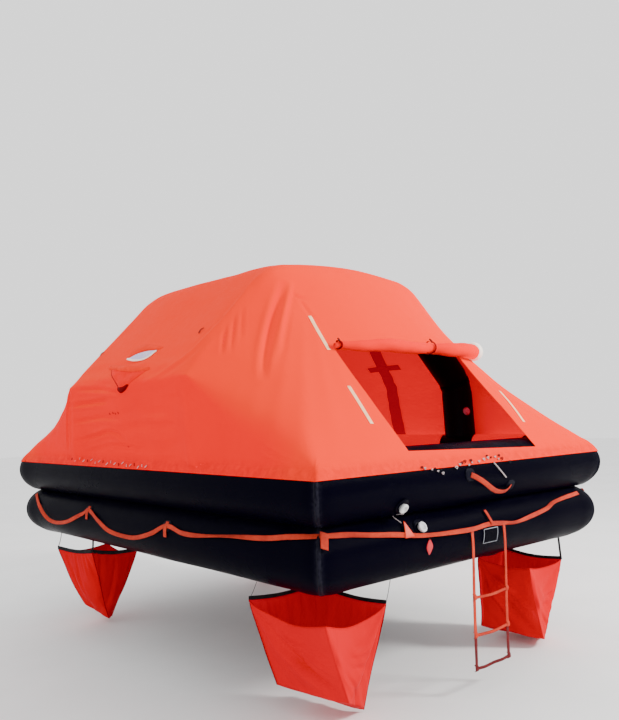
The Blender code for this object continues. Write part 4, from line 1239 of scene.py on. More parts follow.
def make_port(name, node, pouch, side):
    """A lens-shaped sleeve whose pale lip is a painted highlight, under a low hood, above a catching fold for
    rain and its spout; the dark spout and the dark cord on the fold's edge are painted shade.
    """
    belongs(shoulder_patch(name + "_sleeve", PORT_LENS, side, PORT, 0.007), "port_white", node)
    points, normals = shoulder_line(PORT_LENS[0], side, spacing=0.006)
    # A painted highlight: a pale strip along the lens's lower edge.
    belongs(strap(name + "_lip", points + normals * 0.0012, normals, 0.016, 0.007, PALE_EDGE_AND_HIGHLIGHT), "port_white")
    belongs(shoulder_patch(name + "_hood", PORT_HOOD, side, ORANGE, 0.010), "canopy_orange")
    fold = shoulder_patch(name + "_fold", POUCH_FOLD, side, ORANGE, 0.020, folds=0.0015)
    # The flap takes a little painted sunlight.
    flap = shoulder_patch(name + "_flap", POUCH_FLAP, side, ORANGE, 0.010, folds=0.003, painted_light=0.08)
    belongs(joined(pouch + "_gutter", [fold, flap]), "canopy_orange", pouch)
    # Painted shade: the dark spout at the flap's tip and the dark cord along its edge.
    belongs(shoulder_patch(pouch + "_spout", POUCH_TIP, side, DARK_SEAM_AND_SHADE, 0.012), "pocket_red")
    points, normals = shoulder_line(POUCH_FLAP[0][:3], side)
    belongs(cord(pouch + "_edge", points + normals * 0.003, 0.0028, DARK_SEAM_AND_SHADE, 7), "pocket_red")


make_port("port_left", "viewing_port_left", "rain_pouch_left", -1)
make_port("port_right", "viewing_port_right", "rain_pouch_right", 1)


def make_toggles():
    """Short black ties sewn to the shoulders beside each arch, and a few stitches on the walls."""
    ties = []
    for side in (-1, 1):
        for pixels in SHOULDER_TIES:
            points, normals = shoulder_line(pixels, side, steps=4)
            bow = 0.002 + 0.005 * np.sin(np.linspace(0, pi, len(points)))
            path = points + normals * bow[:, None]
            ties.append(strap("toggle_part", path, normals, 0.010, 0.003, BLACK_STRAP))
        for y, z in on_shoulder(STITCHES):
            point, normal = on_side(y, z, side)
            stitch = [point + normal * 0.001 + np.array((0, step, step * 0.8)) for step in (-0.005, 0, 0.005)]
            ties.append(strap("stitch_part", stitch, [normal] * 3, 0.005, 0.0014, BLACK_STRAP))
    belongs(joined("shoulder_ties", ties), "pouch_black")


# Knots of the lacing as places of the photograph: pale ones and dark ones on the front hem
PALE_KNOTS = ((424, 469), (431, 470), (437, 471.5), (442, 473.5), (455.5, 468), (459, 465), (468, 465.5),
              (471, 463), (478, 462), (483, 460), (487, 458.5), (494, 457.5), (497.5, 459.5))
DARK_KNOTS = ((421, 468), (434, 469), (440, 470), (461, 463.5), (464, 462), (470, 461), (486, 456.5),
              (490, 458), (498, 456), (501, 459), (509, 462))


def make_hem_lacing():
    """Knotted lacing that draws the canopy's hem down on the upper tube."""
    pale, dark = [], []
    for knots, made, finish in ((PALE_KNOTS, pale, PALE_CORD), (DARK_KNOTS, dark, BLACK_CORD)):
        for index, pixel in enumerate(knots):
            along, angle = tube_spot(UPPER, "front", *pixel)
            size = 0.0052 + 0.0022 * sin(index * 5.1)
            for side, sign in (("front", 1), ("rear", -1)):
                loop = []
                for k in range(10):
                    turn = 2 * pi * k / 9 + index * 2.4
                    loop.append(tube_point(UPPER, side, sign * (along + size * cos(turn)),
                                           angle + size * sin(turn) * 280,
                                           0.0075 + 0.003 * sin(turn * 2)))
                made.append(sweep("lacing_part", loop, round_section(0.0022, 7), finish))
    for index, px in enumerate(np.linspace(73, 147, 20)):
        along, angle = tube_spot(UPPER, "left", px, 459.5 + (px - 73) * 0.105 + 1.2 * sin(index * 2.3))
        lean = 0.006 * (-1) ** index
        for side, sign in (("left", 1), ("right", -1)):
            line = [tube_point(UPPER, side, sign * (along + lean * t), angle + 2.4 * t, 0.0085)
                    for t in (-1, 0, 1)]
            made, finish = (pale, PALE_CORD) if index % 4 else (dark, BLACK_CORD)
            made.append(cord("lacing_part", smooth_path(line, 3), 0.0022, finish, 6))
    belongs(joined("hem_lacing_pale", pale), "port_white")
    belongs(joined("hem_lacing_black", dark), "pouch_black")


make_toggles()
make_hem_lacing()


# The T of tape inside the right-hand wall, as places of the photograph
TAPE_POST = ((375, 350), (382, 365), (389, 381), (393.5, 397), (396.5, 413), (400, 431), (403, 443))
TAPE_BAR = ((369.5, 370), (384, 368), (400, 366.5))


def seen_inside(px, py):
    """The point of the far wall that shows through the front entrance at a place of the photograph."""
    near, _ = seen_on(CANOPY, px, py)
    direction = sight(px, py)
    hit, _, _, _ = CANOPY.ray_cast(near + direction * 0.05, direction)
    return hit


def make_inner_tapes():
    """Dark reinforcing tapes inside the side walls, in a T."""
    for side in (-1, 1):
        parts = []
        for pixels, width in ((TAPE_POST, 0.112), (TAPE_BAR, 0.050)):
            line = even_path(smooth_path([(*seen_inside(*pixel)[1:], 0) for pixel in pixels], 6), 0.02)
            found = [on_side(y, z, side) for y, z, _ in line if z > UPPER[2] + 0.12]
            path = [point - normal * (SHEET_THICK + 0.0060) for point, normal in found]
            facing = [-normal for _, normal in found]
            parts.append(strap("inner_tape_part", path, facing, width, 0.0012, DARK_RED))
        belongs(joined("inner_tape_" + ("left" if side < 0 else "right"), parts), "pocket_red")


make_inner_tapes()


def make_liners():
    """Lining that hangs from the side walls over the tubes' tops inside."""
    rows = 26
    for side in ("left", "right"):
        for index, (start, end) in enumerate(((-1.26, -0.84), (-0.575, 0.575), (0.84, 1.26))):
            columns = int((end - start) / 0.024)
            grid = np.zeros((rows, columns, 3))
            for row, angle in enumerate(np.linspace(44, 168, rows)):
                slant = 0.10 * max(0, angle - 80) / 88
                first, last = (edge + slant * np.sign(edge) * (abs(edge) < 1) for edge in (start, end))
                for column, y in enumerate(np.linspace(first, last, columns)):
                    lift = 0.0035 + 0.0022 * noise.noise((y * 5, angle / 25, len(side)))
                    lift += 0.004 * (row == rows - 1) * sin(y * 19) ** 2
                    grid[row, column] = tube_point(UPPER, side, y, angle, max(0.0026, lift))
            item = slab(f"liner_{side}_{index}", grid, 0.0016 if side == "left" else -0.0016, LINING)
            mark_wear(item, 0.0)
            belongs(item, "canopy_orange")


make_liners()


# Floor: a quilted mat of air cells

def make_floor():
    """The mat between the tubes and the sheet under it."""
    half_x, half_y = 0.80, 1.27
    columns, rows = 97, 145
    cell_x, cell_y = 0.20, 2 * half_y / 13
    grid = np.zeros((rows, columns, 3))
    for row, y in enumerate(np.linspace(-half_y, half_y, rows)):
        for column, x in enumerate(np.linspace(-half_x, half_x, columns)):
            bulge = (abs(sin(pi * (x + half_x) / cell_x)) * abs(sin(pi * (y + half_y) / cell_y))) ** 0.45
            edge = min(1, (half_x - abs(x)) / 0.03, (half_y - abs(y)) / 0.03)
            grid[row, column] = (x, y, 0.027 + 0.019 * bulge * max(0, edge))
    up = np.tile((0.0, 0.0, 1.0), (rows, columns, 1))
    item = slab("floor_mat", grid, -0.019, FLOOR_FABRIC, up, bevel=1.0)
    mark_wear(item, 0.35 * (1 - np.abs(np.sin(np.arange(rows * columns * 2) * 0.001))))
    belongs(item, "floor_orange", "floor")
    corners = ((-0.84, -1.31), (0.84, -1.31), (0.84, 1.31), (-0.84, 1.31))
    verts = [(*corner, z) for z in (-0.0045, 0.0245) for corner in corners]
    faces = [(3, 2, 1, 0), (4, 5, 6, 7), (0, 1, 5, 4), (1, 2, 6, 5), (2, 3, 7, 6), (3, 0, 4, 7)]
    base = piece("floor_underside", verts, faces, BLACK_RUBBER, corners * 2)
    cut = base.modifiers.new("edges", "BEVEL")
    cut.width = 0.006
    cut.segments = 3
    mark_wear(base, 0.0)
    belongs(base, "tube_black")


make_floor()


# Webbing: grab lines, handles, ladder and their patches

# Places of the photograph along the grab lines, from the near corner to the far ones
FRONT_PIXELS = ((318.5, 537), (345, 536), (370, 536), (394, 535.5), (418, 536), (437, 534.5), (455, 532),
                (472, 529), (489, 524), (502, 523), (514, 522), (530, 516), (545, 509))
LEFT_PIXELS = ((318, 537), (290, 538), (266, 539), (233, 537), (200, 536), (183, 533), (167, 526), (153, 533),
               (137, 537), (123, 535), (110, 530), (100, 521), (89, 510), (83, 514), (67, 521.5), (52, 520),
               (41, 506), (37, 494))
GRAB_FRONT = tuple(tube_spot(LOWER, "front", *pixel) for pixel in FRONT_PIXELS) + ((0.70, 28), (1.00, 38))
GRAB_LEFT = tuple(tube_spot(LOWER, "left", *pixel) for pixel in LEFT_PIXELS)
HELD = {"front": (GRAB_FRONT[0][0], GRAB_FRONT[8][0], 1.00),
        "left": tuple(GRAB_LEFT[index][0] for index in (0, 6, 12, 17))}
TABS = {"front": (), "left": HELD["left"][1:3]}
CORNER_TAB = ((322.5, 535), (322.5, 543), (322.5, 550.5))
WEB = 0.024


def tube_path(ring, side, table, out):
    """Points, normals and places along a tube of a smooth line through a table of places and angles."""
    line = even_path(smooth_path([(along, angle / 100, 0) for along, angle in table], 10), 0.012)
    path = np.array([tube_point(ring, side, along, angle * 100, out) for along, angle, _ in line])
    normals = np.array([tube_normal(side, angle * 100) for _, angle, _ in line])
    return path, normals, line[:, 0]


def make_grab_line(side, table, held, tabs):
    """A grab line through a table of places, held close at some and under a sewn tab at others."""
    path, normals, along = tube_path(LOWER, side, table, 0.0035)
    apart = np.array([min(abs(a - place) for place in held) for a in along])
    slack = np.clip((apart - 0.05) / 0.12, 0, 1)
    path = path + normals * (0.007 * slack)[:, None]
    twist = slack * (0.75 * np.sin(along * 6.2 + 0.8) + 0.15)
    tangents = unit(np.gradient(path, axis=0))
    turned = normals * np.cos(twist)[:, None] + np.cross(tangents, normals) * np.sin(twist)[:, None]
    item = strap(f"grab_line_{side}_webbing", path, turned, WEB, 0.0024, STRAP)
    belongs(item, "webbing_orange", f"grab_line_{side}")
    for index, place in enumerate(tabs):
        stops = np.array(sorted(table))
        angle = float(np.interp(place, stops[:, 0], stops[:, 1]))
        tube_patch(f"grab_patch_{side}_{index}", LOWER, side, place, angle, 0.085, 0.060, 0.0022)
        spots = ((place, angle + 8), (place + 0.001, angle - 4), (place + 0.002, angle - 20))
        tab, facing, _ = tube_path(LOWER, side, spots, 0)
        tab += facing * (0.0026 + 0.0044 * np.exp(-(np.linspace(-1, 1, len(tab)) / 0.45) ** 2))[:, None]
        belongs(strap(f"grab_tab_{side}_{index}", tab, facing, 0.030, 0.0022, STRAP), "webbing_orange")


def flipped(table):
    return tuple((-along, angle) for along, angle in reversed(table))


make_grab_line("front", GRAB_FRONT, HELD["front"], TABS["front"])
make_grab_line("rear", flipped(GRAB_FRONT), tuple(-a for a in HELD["front"]), ())
make_grab_line("left", GRAB_LEFT, HELD["left"], TABS["left"])
make_grab_line("right", GRAB_LEFT, HELD["left"], TABS["left"])


def make_corner_tabs():
    """The tab that holds the grab lines where they pass a corner, in front and at the rear."""
    spots = [tube_spot(LOWER, "front", *pixel) for pixel in CORNER_TAB]
    for side, sign in (("front", 1), ("rear", -1)):
        path = smooth_path([tube_point(LOWER, side, sign * along, angle, 0.013) for along, angle in spots], 5)
        facing = smooth_path([tube_normal(side, angle) for _, angle in spots], 5)
        belongs(strap(f"corner_tab_{side}", path, facing, 0.040, 0.003, STRAP), "webbing_orange")


make_corner_tabs()

# Places along the hand loop: X, angle on the tube and distance from it
HANDLE = ((-0.150, 4, 0.004), (-0.090, -6, 0.022), (0.030, -24, 0.030), (0.140, -30, 0.022),
          (0.210, -26, 0.004))


def make_handle(side):
    """A hand loop over the upper tube between two patches, and a pale line beside it."""
    sign = 1 if side == "front" else -1
    stops = smooth_path([(along, angle / 100, out) for along, angle, out in HANDLE], 8)
    path = np.array([tube_point(UPPER, side, sign * a, angle * 100, out) for a, angle, out in stops])
    normals = np.array([tube_normal(side, angle * 100 - 12) for _, angle, _ in stops])
    item = strap(f"handle_{side}_webbing", path, normals, 0.026, 0.003, STRAP)
    belongs(item, "webbing_orange", f"handle_{side}")
    for index, (along, angle, _) in enumerate((HANDLE[0], HANDLE[-1])):
        tube_patch(f"handle_patch_{side}_{index}", UPPER, side, sign * along, angle, 0.075, 0.065, 0.0024)
    spots = ((0.060, 20), (0.100, 6), (0.150, -8))
    line = [tube_point(UPPER, side, sign * along, angle, 0.005) for along, angle in spots]
    belongs(cord(f"handle_line_{side}", smooth_path(line, 6), 0.0035, PALE_CORD), "port_white")


make_handle("front")
make_handle("rear")


LADDER_RAILS = (-0.112, 0.162)


def make_ladder():
    """A boarding ladder of flat webbing: two rails and rungs folded round them."""
    y = -(LOWER[1] + TUBE_R + 0.004)
    foot, swing, swing_from, swing_over = -0.522, 0.020, 0.10, 0.62
    for index, x in enumerate(LADDER_RAILS):
        start = [tube_point(LOWER, "front", x, angle, 0.0022) for angle in (9, 5, 2)]
        drop = [(x + 0.002 * sin(z * 9 + index), y, z) for z in (0.06, -0.02, -0.14, -0.26, -0.38, foot)]
        path = even_path(smooth_path(start + drop, 6), 0.012)
        out = np.array([(0.10 * sin(p[2] * 6 + index) * (p[2] < 0), -1, 0.02) for p in path])
        path[:, 0] -= swing * np.clip((swing_from - path[:, 2]) / swing_over, 0, 1)
        dry = int(np.argmax(path[:, 2] < -0.36))
        rail = strap(f"ladder_rail_{index}", path[:dry + 1], out[:dry + 1], 0.021, 0.003, STRAP)
        belongs(rail, "webbing_orange", "ladder_front")
        soiled = strap(f"ladder_rail_foot_{index}", path[dry:], out[dry:], 0.021, 0.003, SOILED_STRAP)
        belongs(soiled, "webbing_orange")
        tube_patch(f"ladder_patch_{index}", LOWER, "front", x, 6, 0.045, 0.045, 0.0024)
    for index, z in enumerate((-0.175, -0.355, -0.5115)):
        lean = swing * (swing_from - z) / swing_over
        left, right = (x - lean for x in LADDER_RAILS)
        fabric = SOILED_STRAP if index == 2 else STRAP
        middle = ((left + right) / 2, y - 0.006, z - 0.006 * (index < 2))
        path = smooth_path([(left, y - 0.001, z), (left + 0.065, y - 0.005, z - 0.003), middle,
                            (right - 0.065, y - 0.005, z - 0.003), (right, y - 0.001, z)], 6)
        rung = strap(f"ladder_rung_{index}", path, [(0, -1, 0.35)] * len(path), 0.014, 0.005, fabric)
        belongs(rung, "webbing_orange")
        for letter, x in (("a", left), ("b", right)):
            lap = smooth_path([(x, y + 0.0035, z + 0.018), (x, y - 0.0050, z + 0.009),
                               (x, y - 0.0050, z - 0.008),
                               (x, y + 0.0035, z - 0.012)], 5)
            part = strap(f"ladder_lap_{index}_{letter}", lap, [(0, -1, 0)] * len(lap), 0.024, 0.0022, fabric)
            belongs(part, "webbing_orange")


make_ladder()


# Valves, tags and the blank plate on the front tubes

def make_relief_valve(name, ring, along, angle, radius):
    """A screw cap with a ribbed rim on a round base patch, on its retaining cord."""
    place = tube_point(ring, "front", along, angle, 0.0004)
    normal = tube_normal("front", angle)
    base = [(0.0, 0), (radius * 1.75, 0), (radius * 1.75, 0.0016), (radius * 1.2, 0.0026), (0.0, 0.0026)]
    belongs(lathe(name + "_base", base, place, normal, TAPE, 40), "tube_black")
    profile = [(0.0, 0.002), (radius * 0.80, 0.002), (radius * 0.80, 0.010), (radius, 0.011), (radius, 0.019),
               (radius * 0.93, 0.0215), (radius * 0.55, 0.0225), (radius * 0.5, 0.0195), (0.0, 0.0195)]
    cap = lathe(name + "_cap", profile, place, normal, WHITE, 48, wobble=0.02)
    belongs(cap, "valve_white", name)
    return place, normal


def valve_cord(name, start, spots, material, slot):
    """The cord that keeps a valve's cap, from the cap to a place on the lower tube."""
    stops = [start] + [tube_point(LOWER, "front", *spot) for spot in spots]
    belongs(cord(name, smooth_path(stops, 7), 0.0022, material, 8), slot)


def flat_tag(name, node, along, angle, corners, wide, tall, thick, material, slot, lift):
    """A blank tag on the lower tube: 3 corners, point up, 4 as a lozenge, or 0 for a rectangle."""
    rows, columns = 11, 9
    grid = np.zeros((rows, columns, 3))
    normals = np.zeros((rows, columns, 3))
    for row, v in enumerate(np.linspace(-1, 1, rows)):
        half = {3: 0.06 + 0.94 * (1 - v) / 2, 4: 1.04 - abs(v) ** 1.5, 0: 1.0}[corners]
        for column, u in enumerate(np.linspace(-1, 1, columns)):
            turn = angle + np.degrees(v * tall / 2 / TUBE_R)
            grid[row, column] = tube_point(LOWER, "front", along + u * half * wide / 2, turn,
                                           lift + 0.002 * v * v)
            normals[row, column] = tube_normal("front", turn)
    belongs(slab(name, grid, thick, material, normals, bevel=0.5), slot, node)


def make_valves_and_tags():
    """The two relief valves on their cords, and the two tags beside them."""
    upper_place, upper_normal = make_relief_valve("relief_valve_upper", UPPER, -0.63, -36, 0.024)
    lower_place, lower_normal = make_relief_valve("relief_valve_lower", LOWER, -0.48, 27, 0.025)
    flat_tag("valve_tag_cut", "valve_tag", -0.585, 28, 3, 0.066, 0.072, 0.003, ORANGE_TAG, "tag_red", 0.0140)
    flat_tag("pull_tag_cut", "pull_tag", -0.440, -5, 4, 0.044, 0.076, 0.003, RED_TAG, "tag_red", 0.0008)
    valve_cord("valve_cord_upper", upper_place + upper_normal * 0.012 - (0, 0, 0.024),
               ((-0.612, 56, 0.008), (-0.592, 40, 0.006)), PALE_CORD, "port_white")
    valve_cord("valve_cord_lower", lower_place + lower_normal * 0.012 - (0, 0, 0.023),
               ((-0.452, 12, 0.006), (-0.441, 6, 0.005)), BLACK_CORD, "pouch_black")


def make_plate():
    """The blank plate on the lower tube and its rim."""
    flat_tag("plate_blank", "label_plate", 0.048, -8, 0, 0.118, 0.070, 0.0022, PLATE, "plate_grey", 0.0006)
    rim = []
    for u0, v0, u1, v1 in ((-1, -1, 1, -1), (1, -1, 1, 1), (1, 1, -1, 1), (-1, 1, -1, -1)):
        steps = [(u0 + (u1 - u0) * t, v0 + (v1 - v0) * t) for t in np.linspace(0, 1, 12)]
        turns = [-8 + np.degrees(v * 0.035 / TUBE_R) for _, v in steps]
        places = [0.048 + u * 0.059 for u, _ in steps]
        path = [tube_point(LOWER, "front", along, turn, 0.0016) for along, turn in zip(places, turns)]
        facing = [tube_normal("front", turn) for turn in turns]
        rim.append(strap("plate_rim_part", path, facing, 0.005, 0.0022, PLATE_EDGE))
    belongs(joined("plate_rim", rim), "plate_grey")


def make_buckle_tab():
    """The short tab above the grab line on the front, at the places of the photograph."""
    spots = [tube_spot(LOWER, "front", *pixel) for pixel in ((483, 511), (487, 517), (491, 524))]
    path = smooth_path([tube_point(LOWER, "front", along, angle, 0.010) for along, angle in spots], 5)
    facing = smooth_path([tube_normal("front", angle) for _, angle in spots], 5)
    belongs(strap("buckle_tab", path, facing, 0.020, 0.003, STRAP), "webbing_orange")


def make_arch_valves():
    """The pink plug on each arch's leg, turned a little to the raft's middle."""
    turn, height = radians(21), 0.733
    profile = [(0.0, 0), (0.027, 0), (0.027, 0.0022), (0.021, 0.0028), (0.021, 0.011), (0.018, 0.0150),
               (0.008, 0.0157), (0.007, 0.0130), (0.0, 0.0130)]
    leg = ARCH_FOOT + (ARCH_KNEE - ARCH_FOOT) * (height - ARCH_FOOT[2]) / (ARCH_KNEE[2] - ARCH_FOOT[2])
    for side, sign in (("front", -1), ("rear", 1)):
        normal = unit((sign * sin(turn), sign * cos(turn), 0.13))
        place = leg * (-sign, sign, 1) + normal * (ARCH_R - 0.0012)
        valve = lathe(f"arch_valve_{side}_cap", profile, place, normal, PINK, 40, wobble=0.015)
        belongs(valve, "valve_pink", f"arch_valve_{side}")


make_valves_and_tags()
make_plate()
make_buckle_tab()
make_arch_valves()


# Water pockets

# Name, centre X and Y, rim height, widths of the rim and the foot, droop of the lip, seed, and how far each
# corner is drawn aside at the rim and at the foot, in the order left, outer, right and inner
POCKETS = (
    ("water_pocket_front_left", -0.820, -1.252, -0.114, 0.455, 0.31, 0.052, 3.0,
     ((-0.004, 0.002, 0.013), (0.005, -0.003, -0.020), (-0.004, 0.007, -0.035), (0, 0, 0)),
     ((0.011, -0.015, 0.050), (0.078, -0.072, 0.033), (-0.004, 0.014, -0.090), (0, 0, -0.02))),
    ("water_pocket_front_right", 0.800, -1.272, -0.150, 0.375, 0.32, 0.022, 8.0,
     ((0.013, -0.013, 0.012), (-0.015, 0.014, -0.006), (0.006, -0.002, -0.029), (0, 0, 0)),
     ((-0.026, 0.021, 0.025), (0.042, -0.035, -0.010), (-0.042, 0.047, -0.055), (0, 0, -0.02))),
    ("water_pocket_rear_left", -0.803, 1.113, -0.140, 0.390, 0.17, 0.020, 15.0,
     ((-0.008, 0.007, 0.006), (0, 0, 0), (-0.004, 0.009, -0.030), (0.012, -0.015, 0.015)),
     ((0.019, -0.022, 0.043), (0, 0, 0), (-0.011, 0.019, -0.060), (0.077, -0.064, -0.038))),
    ("water_pocket_rear_right", 0.803, 1.113, -0.140, 0.390, 0.27, 0.035, 21.0,
     ((0, 0, 0), (0.010, -0.010, -0.010), (0, 0, -0.010), (0, 0, 0)),
     ((0.010, 0, 0.020), (0.030, -0.030, 0.010), (0, 0, -0.040), (0, 0, -0.01))),
)
# Radii of the lines at each pocket's left and right corners
POCKET_TIES = {"water_pocket_front_left": (0.0012, 0.0014), "water_pocket_front_right": (0.0030, 0.0065),
               "water_pocket_rear_left": (0.0025, 0.0025), "water_pocket_rear_right": (0.0030, 0.0030)}
POCKET_TURN = radians(-38)
POCKET_DEEP = 0.42
# Folds in the cloth: where each starts and ends round and down the bag, its height and half width
POCKET_FOLDS = (((0.20, 0.16), (0.78, 0.36), 0.016, 0.035), ((0.10, 0.26), (0.62, 0.82), 0.018, 0.045),
                ((0.30, 0.34), (0.95, 0.92), -0.020, 0.050), ((0.55, 0.30), (0.98, 0.70), 0.014, 0.035),
                ((1.06, 0.06), (1.10, 0.72), 0.014, 0.040), ((1.12, 0.60), (1.55, 0.97), -0.016, 0.045),
                ((1.30, 0.36), (1.80, 0.30), 0.014, 0.030), ((1.22, 0.54), (1.76, 0.50), -0.012, 0.035))
POCKET_COLUMNS = 128
POCKET_ROWS = 40


def square_point(turn, flip, half, bow):
    """A point of the bag's square, its sides bowed out, for turn from 0 to 4 round its corners."""
    corner = int(turn) % 4
    t = turn - int(turn)
    ends = [np.array(c, dtype=float) for c in ((-1, 0), (0, -flip), (1, 0), (0, flip))]
    start, end = ends[corner], ends[(corner + 1) % 4]
    x, y = (start * (1 - t) + end * t) * half + unit(start + end) * bow * 4 * t * (1 - t)
    return np.array((x * cos(POCKET_TURN) - y * sin(POCKET_TURN),
                     x * sin(POCKET_TURN) + y * cos(POCKET_TURN), 0.0))


def bag_folds(turn, s):
    """How far the folds lift the cloth at a place round and down the bag."""
    lift = 0.0
    for first, last, height, half_wide in POCKET_FOLDS:
        run, gone = np.subtract(last, first), np.subtract((turn, s), first)
        share = min(1, max(0, float(gone @ run / (run @ run))))
        gap = float(np.hypot(*(gone - run * share)))
        lift += height * exp(-(gap / half_wide) ** 2) * sin(pi * min(0.95, max(0.08, share)))
    return lift


def bag_wall(x, y, rim, wide, foot, droop, seed, rim_drawn, foot_drawn):
    """A grid of points down and round the bag: its outer lip sags and its sides are slightly uneven."""
    flip = 1 if y < 0 else -1
    columns, rows = POCKET_COLUMNS, POCKET_ROWS
    grid = np.zeros((rows, columns, 3))
    for row in range(rows):
        s = row / (rows - 1)
        for column in range(columns):
            turn = 4 * column / columns
            half = (wide * (1 - s) + foot * s) / 2 ** 0.5
            across = sin(pi * (turn - int(turn)))
            flat = square_point(turn, flip, half, 0.018 * sin(pi * min(1, s * 1.1)) - 0.012 * (1 - s))
            out = unit(flat)
            sag = droop if turn < 2 else 0.016
            place = np.array((x, y, rim - POCKET_DEEP * s)) + flat
            place -= (np.array((0, 0, sag)) + out * sag * 0.6 * (turn < 2)) * across * (1 - s) ** 1.6
            for corner, (high, low) in enumerate(zip(rim_drawn, foot_drawn)):
                apart = min(abs(turn - corner), abs(turn - corner - 4))
                place += (np.array(high) * (1 - s) + np.array(low) * s) * max(0, 1 - apart)
            drag = noise.noise(Vector((turn * 2.1 + s * 1.7, s * 1.2 + seed, seed)))
            fine = noise.noise(Vector((turn * 5.0 - s * 4.2, s * 2.0, seed + 5.0)))
            held = min(1.0, abs(turn - round(turn)) / 0.10)
            ease = sin(pi * min(1, s * 1.6 + 0.12) / 2) * (0.25 + 0.75 * held)
            folds = 0.008 * np.sin(turn * 9 + s * 7 + seed) * across * sin(pi * min(1, s + 0.15)) * (turn < 1)
            folds += bag_folds(turn, s)
            grid[row, column] = place + out * ((0.014 * drag + 0.010 * fine) * ease + folds)
    return grid


def make_bag(name, x, y, rim, wide, foot, *shape):
    """A cloth bag, square in plan, with its foot, before it is hung."""
    grid = bag_wall(x, y, rim, wide, foot, *shape)
    rows, columns = grid.shape[:2]
    verts = list(grid.reshape(-1, 3))
    faces = grid_faces(rows, columns, wrap=True)
    last = (rows - 1) * columns
    centre = grid[-1].mean(axis=0)
    rings = max(3, int(foot / 0.036))
    for ring in range(rings - 1):
        share = 1 - (ring + 1) / rings
        for column in range(columns):
            place = centre + (grid[-1, column] - centre) * share
            place[2] -= 0.012 * (1 - share * share)
            verts.append(place)
        start = last + ring * columns
        faces += [(start + c, start + (c + 1) % columns, start + columns + (c + 1) % columns,
                   start + columns + c)
                  for c in range(columns)]
    tip = len(verts)
    verts.append(centre - np.array((0, 0, 0.012)))
    start = last + (rings - 1) * columns
    faces += [(start + c, start + (c + 1) % columns, tip) for c in range(columns)]
    bag = recalculated(piece(name + "_bag", verts, faces, [RED, RED_INSIDE]))
    side = max(bag.data.polygons, key=lambda face: abs(face.center.x - x))
    if side.normal.x * (side.center.x - x) < 0:
        bag.data.flip_normals()
    return bag


def hang(bags, frames=22):
    """Lets the bags hang from their back rims by cloth simulation, and keeps the result within limits."""
    half = POCKET_COLUMNS // 2
    scene = bpy.context.scene
    for bag in bags:
        held = bag.vertex_groups.new(name="held")
        held.add([0] + list(range(half, POCKET_COLUMNS)), 1.0, "REPLACE")
        cloth = bag.modifiers.new("cloth", "CLOTH")
        settings = cloth.settings
        settings.quality = 5
        settings.mass = 0.10
        settings.tension_stiffness = settings.compression_stiffness = 20
        settings.shear_stiffness = 8
        settings.bending_stiffness = 0.35
        settings.vertex_group_mass = "held"
        settings.shrink_min = -0.035
        settings.air_damping = 4
        cloth.point_cache.frame_start = 1
        cloth.point_cache.frame_end = frames
    for frame in range(1, frames + 1):
        scene.frame_set(frame)
    graph = bpy.context.evaluated_depsgraph_get()
    hung = [points_of(bag.evaluated_get(graph).data.vertices) for bag in bags]
    for bag, points in zip(bags, hung):
        bag.modifiers.clear()
        start = points_of(bag.data.vertices)
        moved = points - start
        far = np.linalg.norm(moved, axis=1, keepdims=True)
        most = np.full((len(points), 1), 0.014)
        share = np.sin(np.linspace(0.25, pi * 0.95, POCKET_ROWS))
        most[:POCKET_ROWS * POCKET_COLUMNS, 0] = np.repeat(0.014 + 0.016 * share, POCKET_COLUMNS)
        set_points(bag.data.vertices, start + moved * most * np.tanh(far / most) / np.maximum(far, 1e-6))
        bag.vertex_groups.clear()
    scene.frame_set(1)


def pocket_anchor(start, x, y):
    """Where a line from a pocket's corner up to the raft meets the lower tube or the floor."""
    out = unit((start - (x, y, 0)) * (1, 1, 0)) * 0.06
    anchor = [np.clip(start[axis] + out[axis], -LOWER[axis], LOWER[axis]) for axis in (0, 1)]
    anchor = np.array([*anchor, 0.010])
    for t in np.linspace(0, 1, 200):
        place = start + (anchor - start) * t
        gaps = [np.hypot(abs(place[axis]) - LOWER[axis], place[2] - LOWER[2]) for axis in (0, 1)
                if abs(place[1 - axis]) < LOWER[1 - axis] + 0.02]
        if min(gaps + [9]) < TUBE_R + 0.0025 or place[2] > -0.006:
            return place
    return anchor


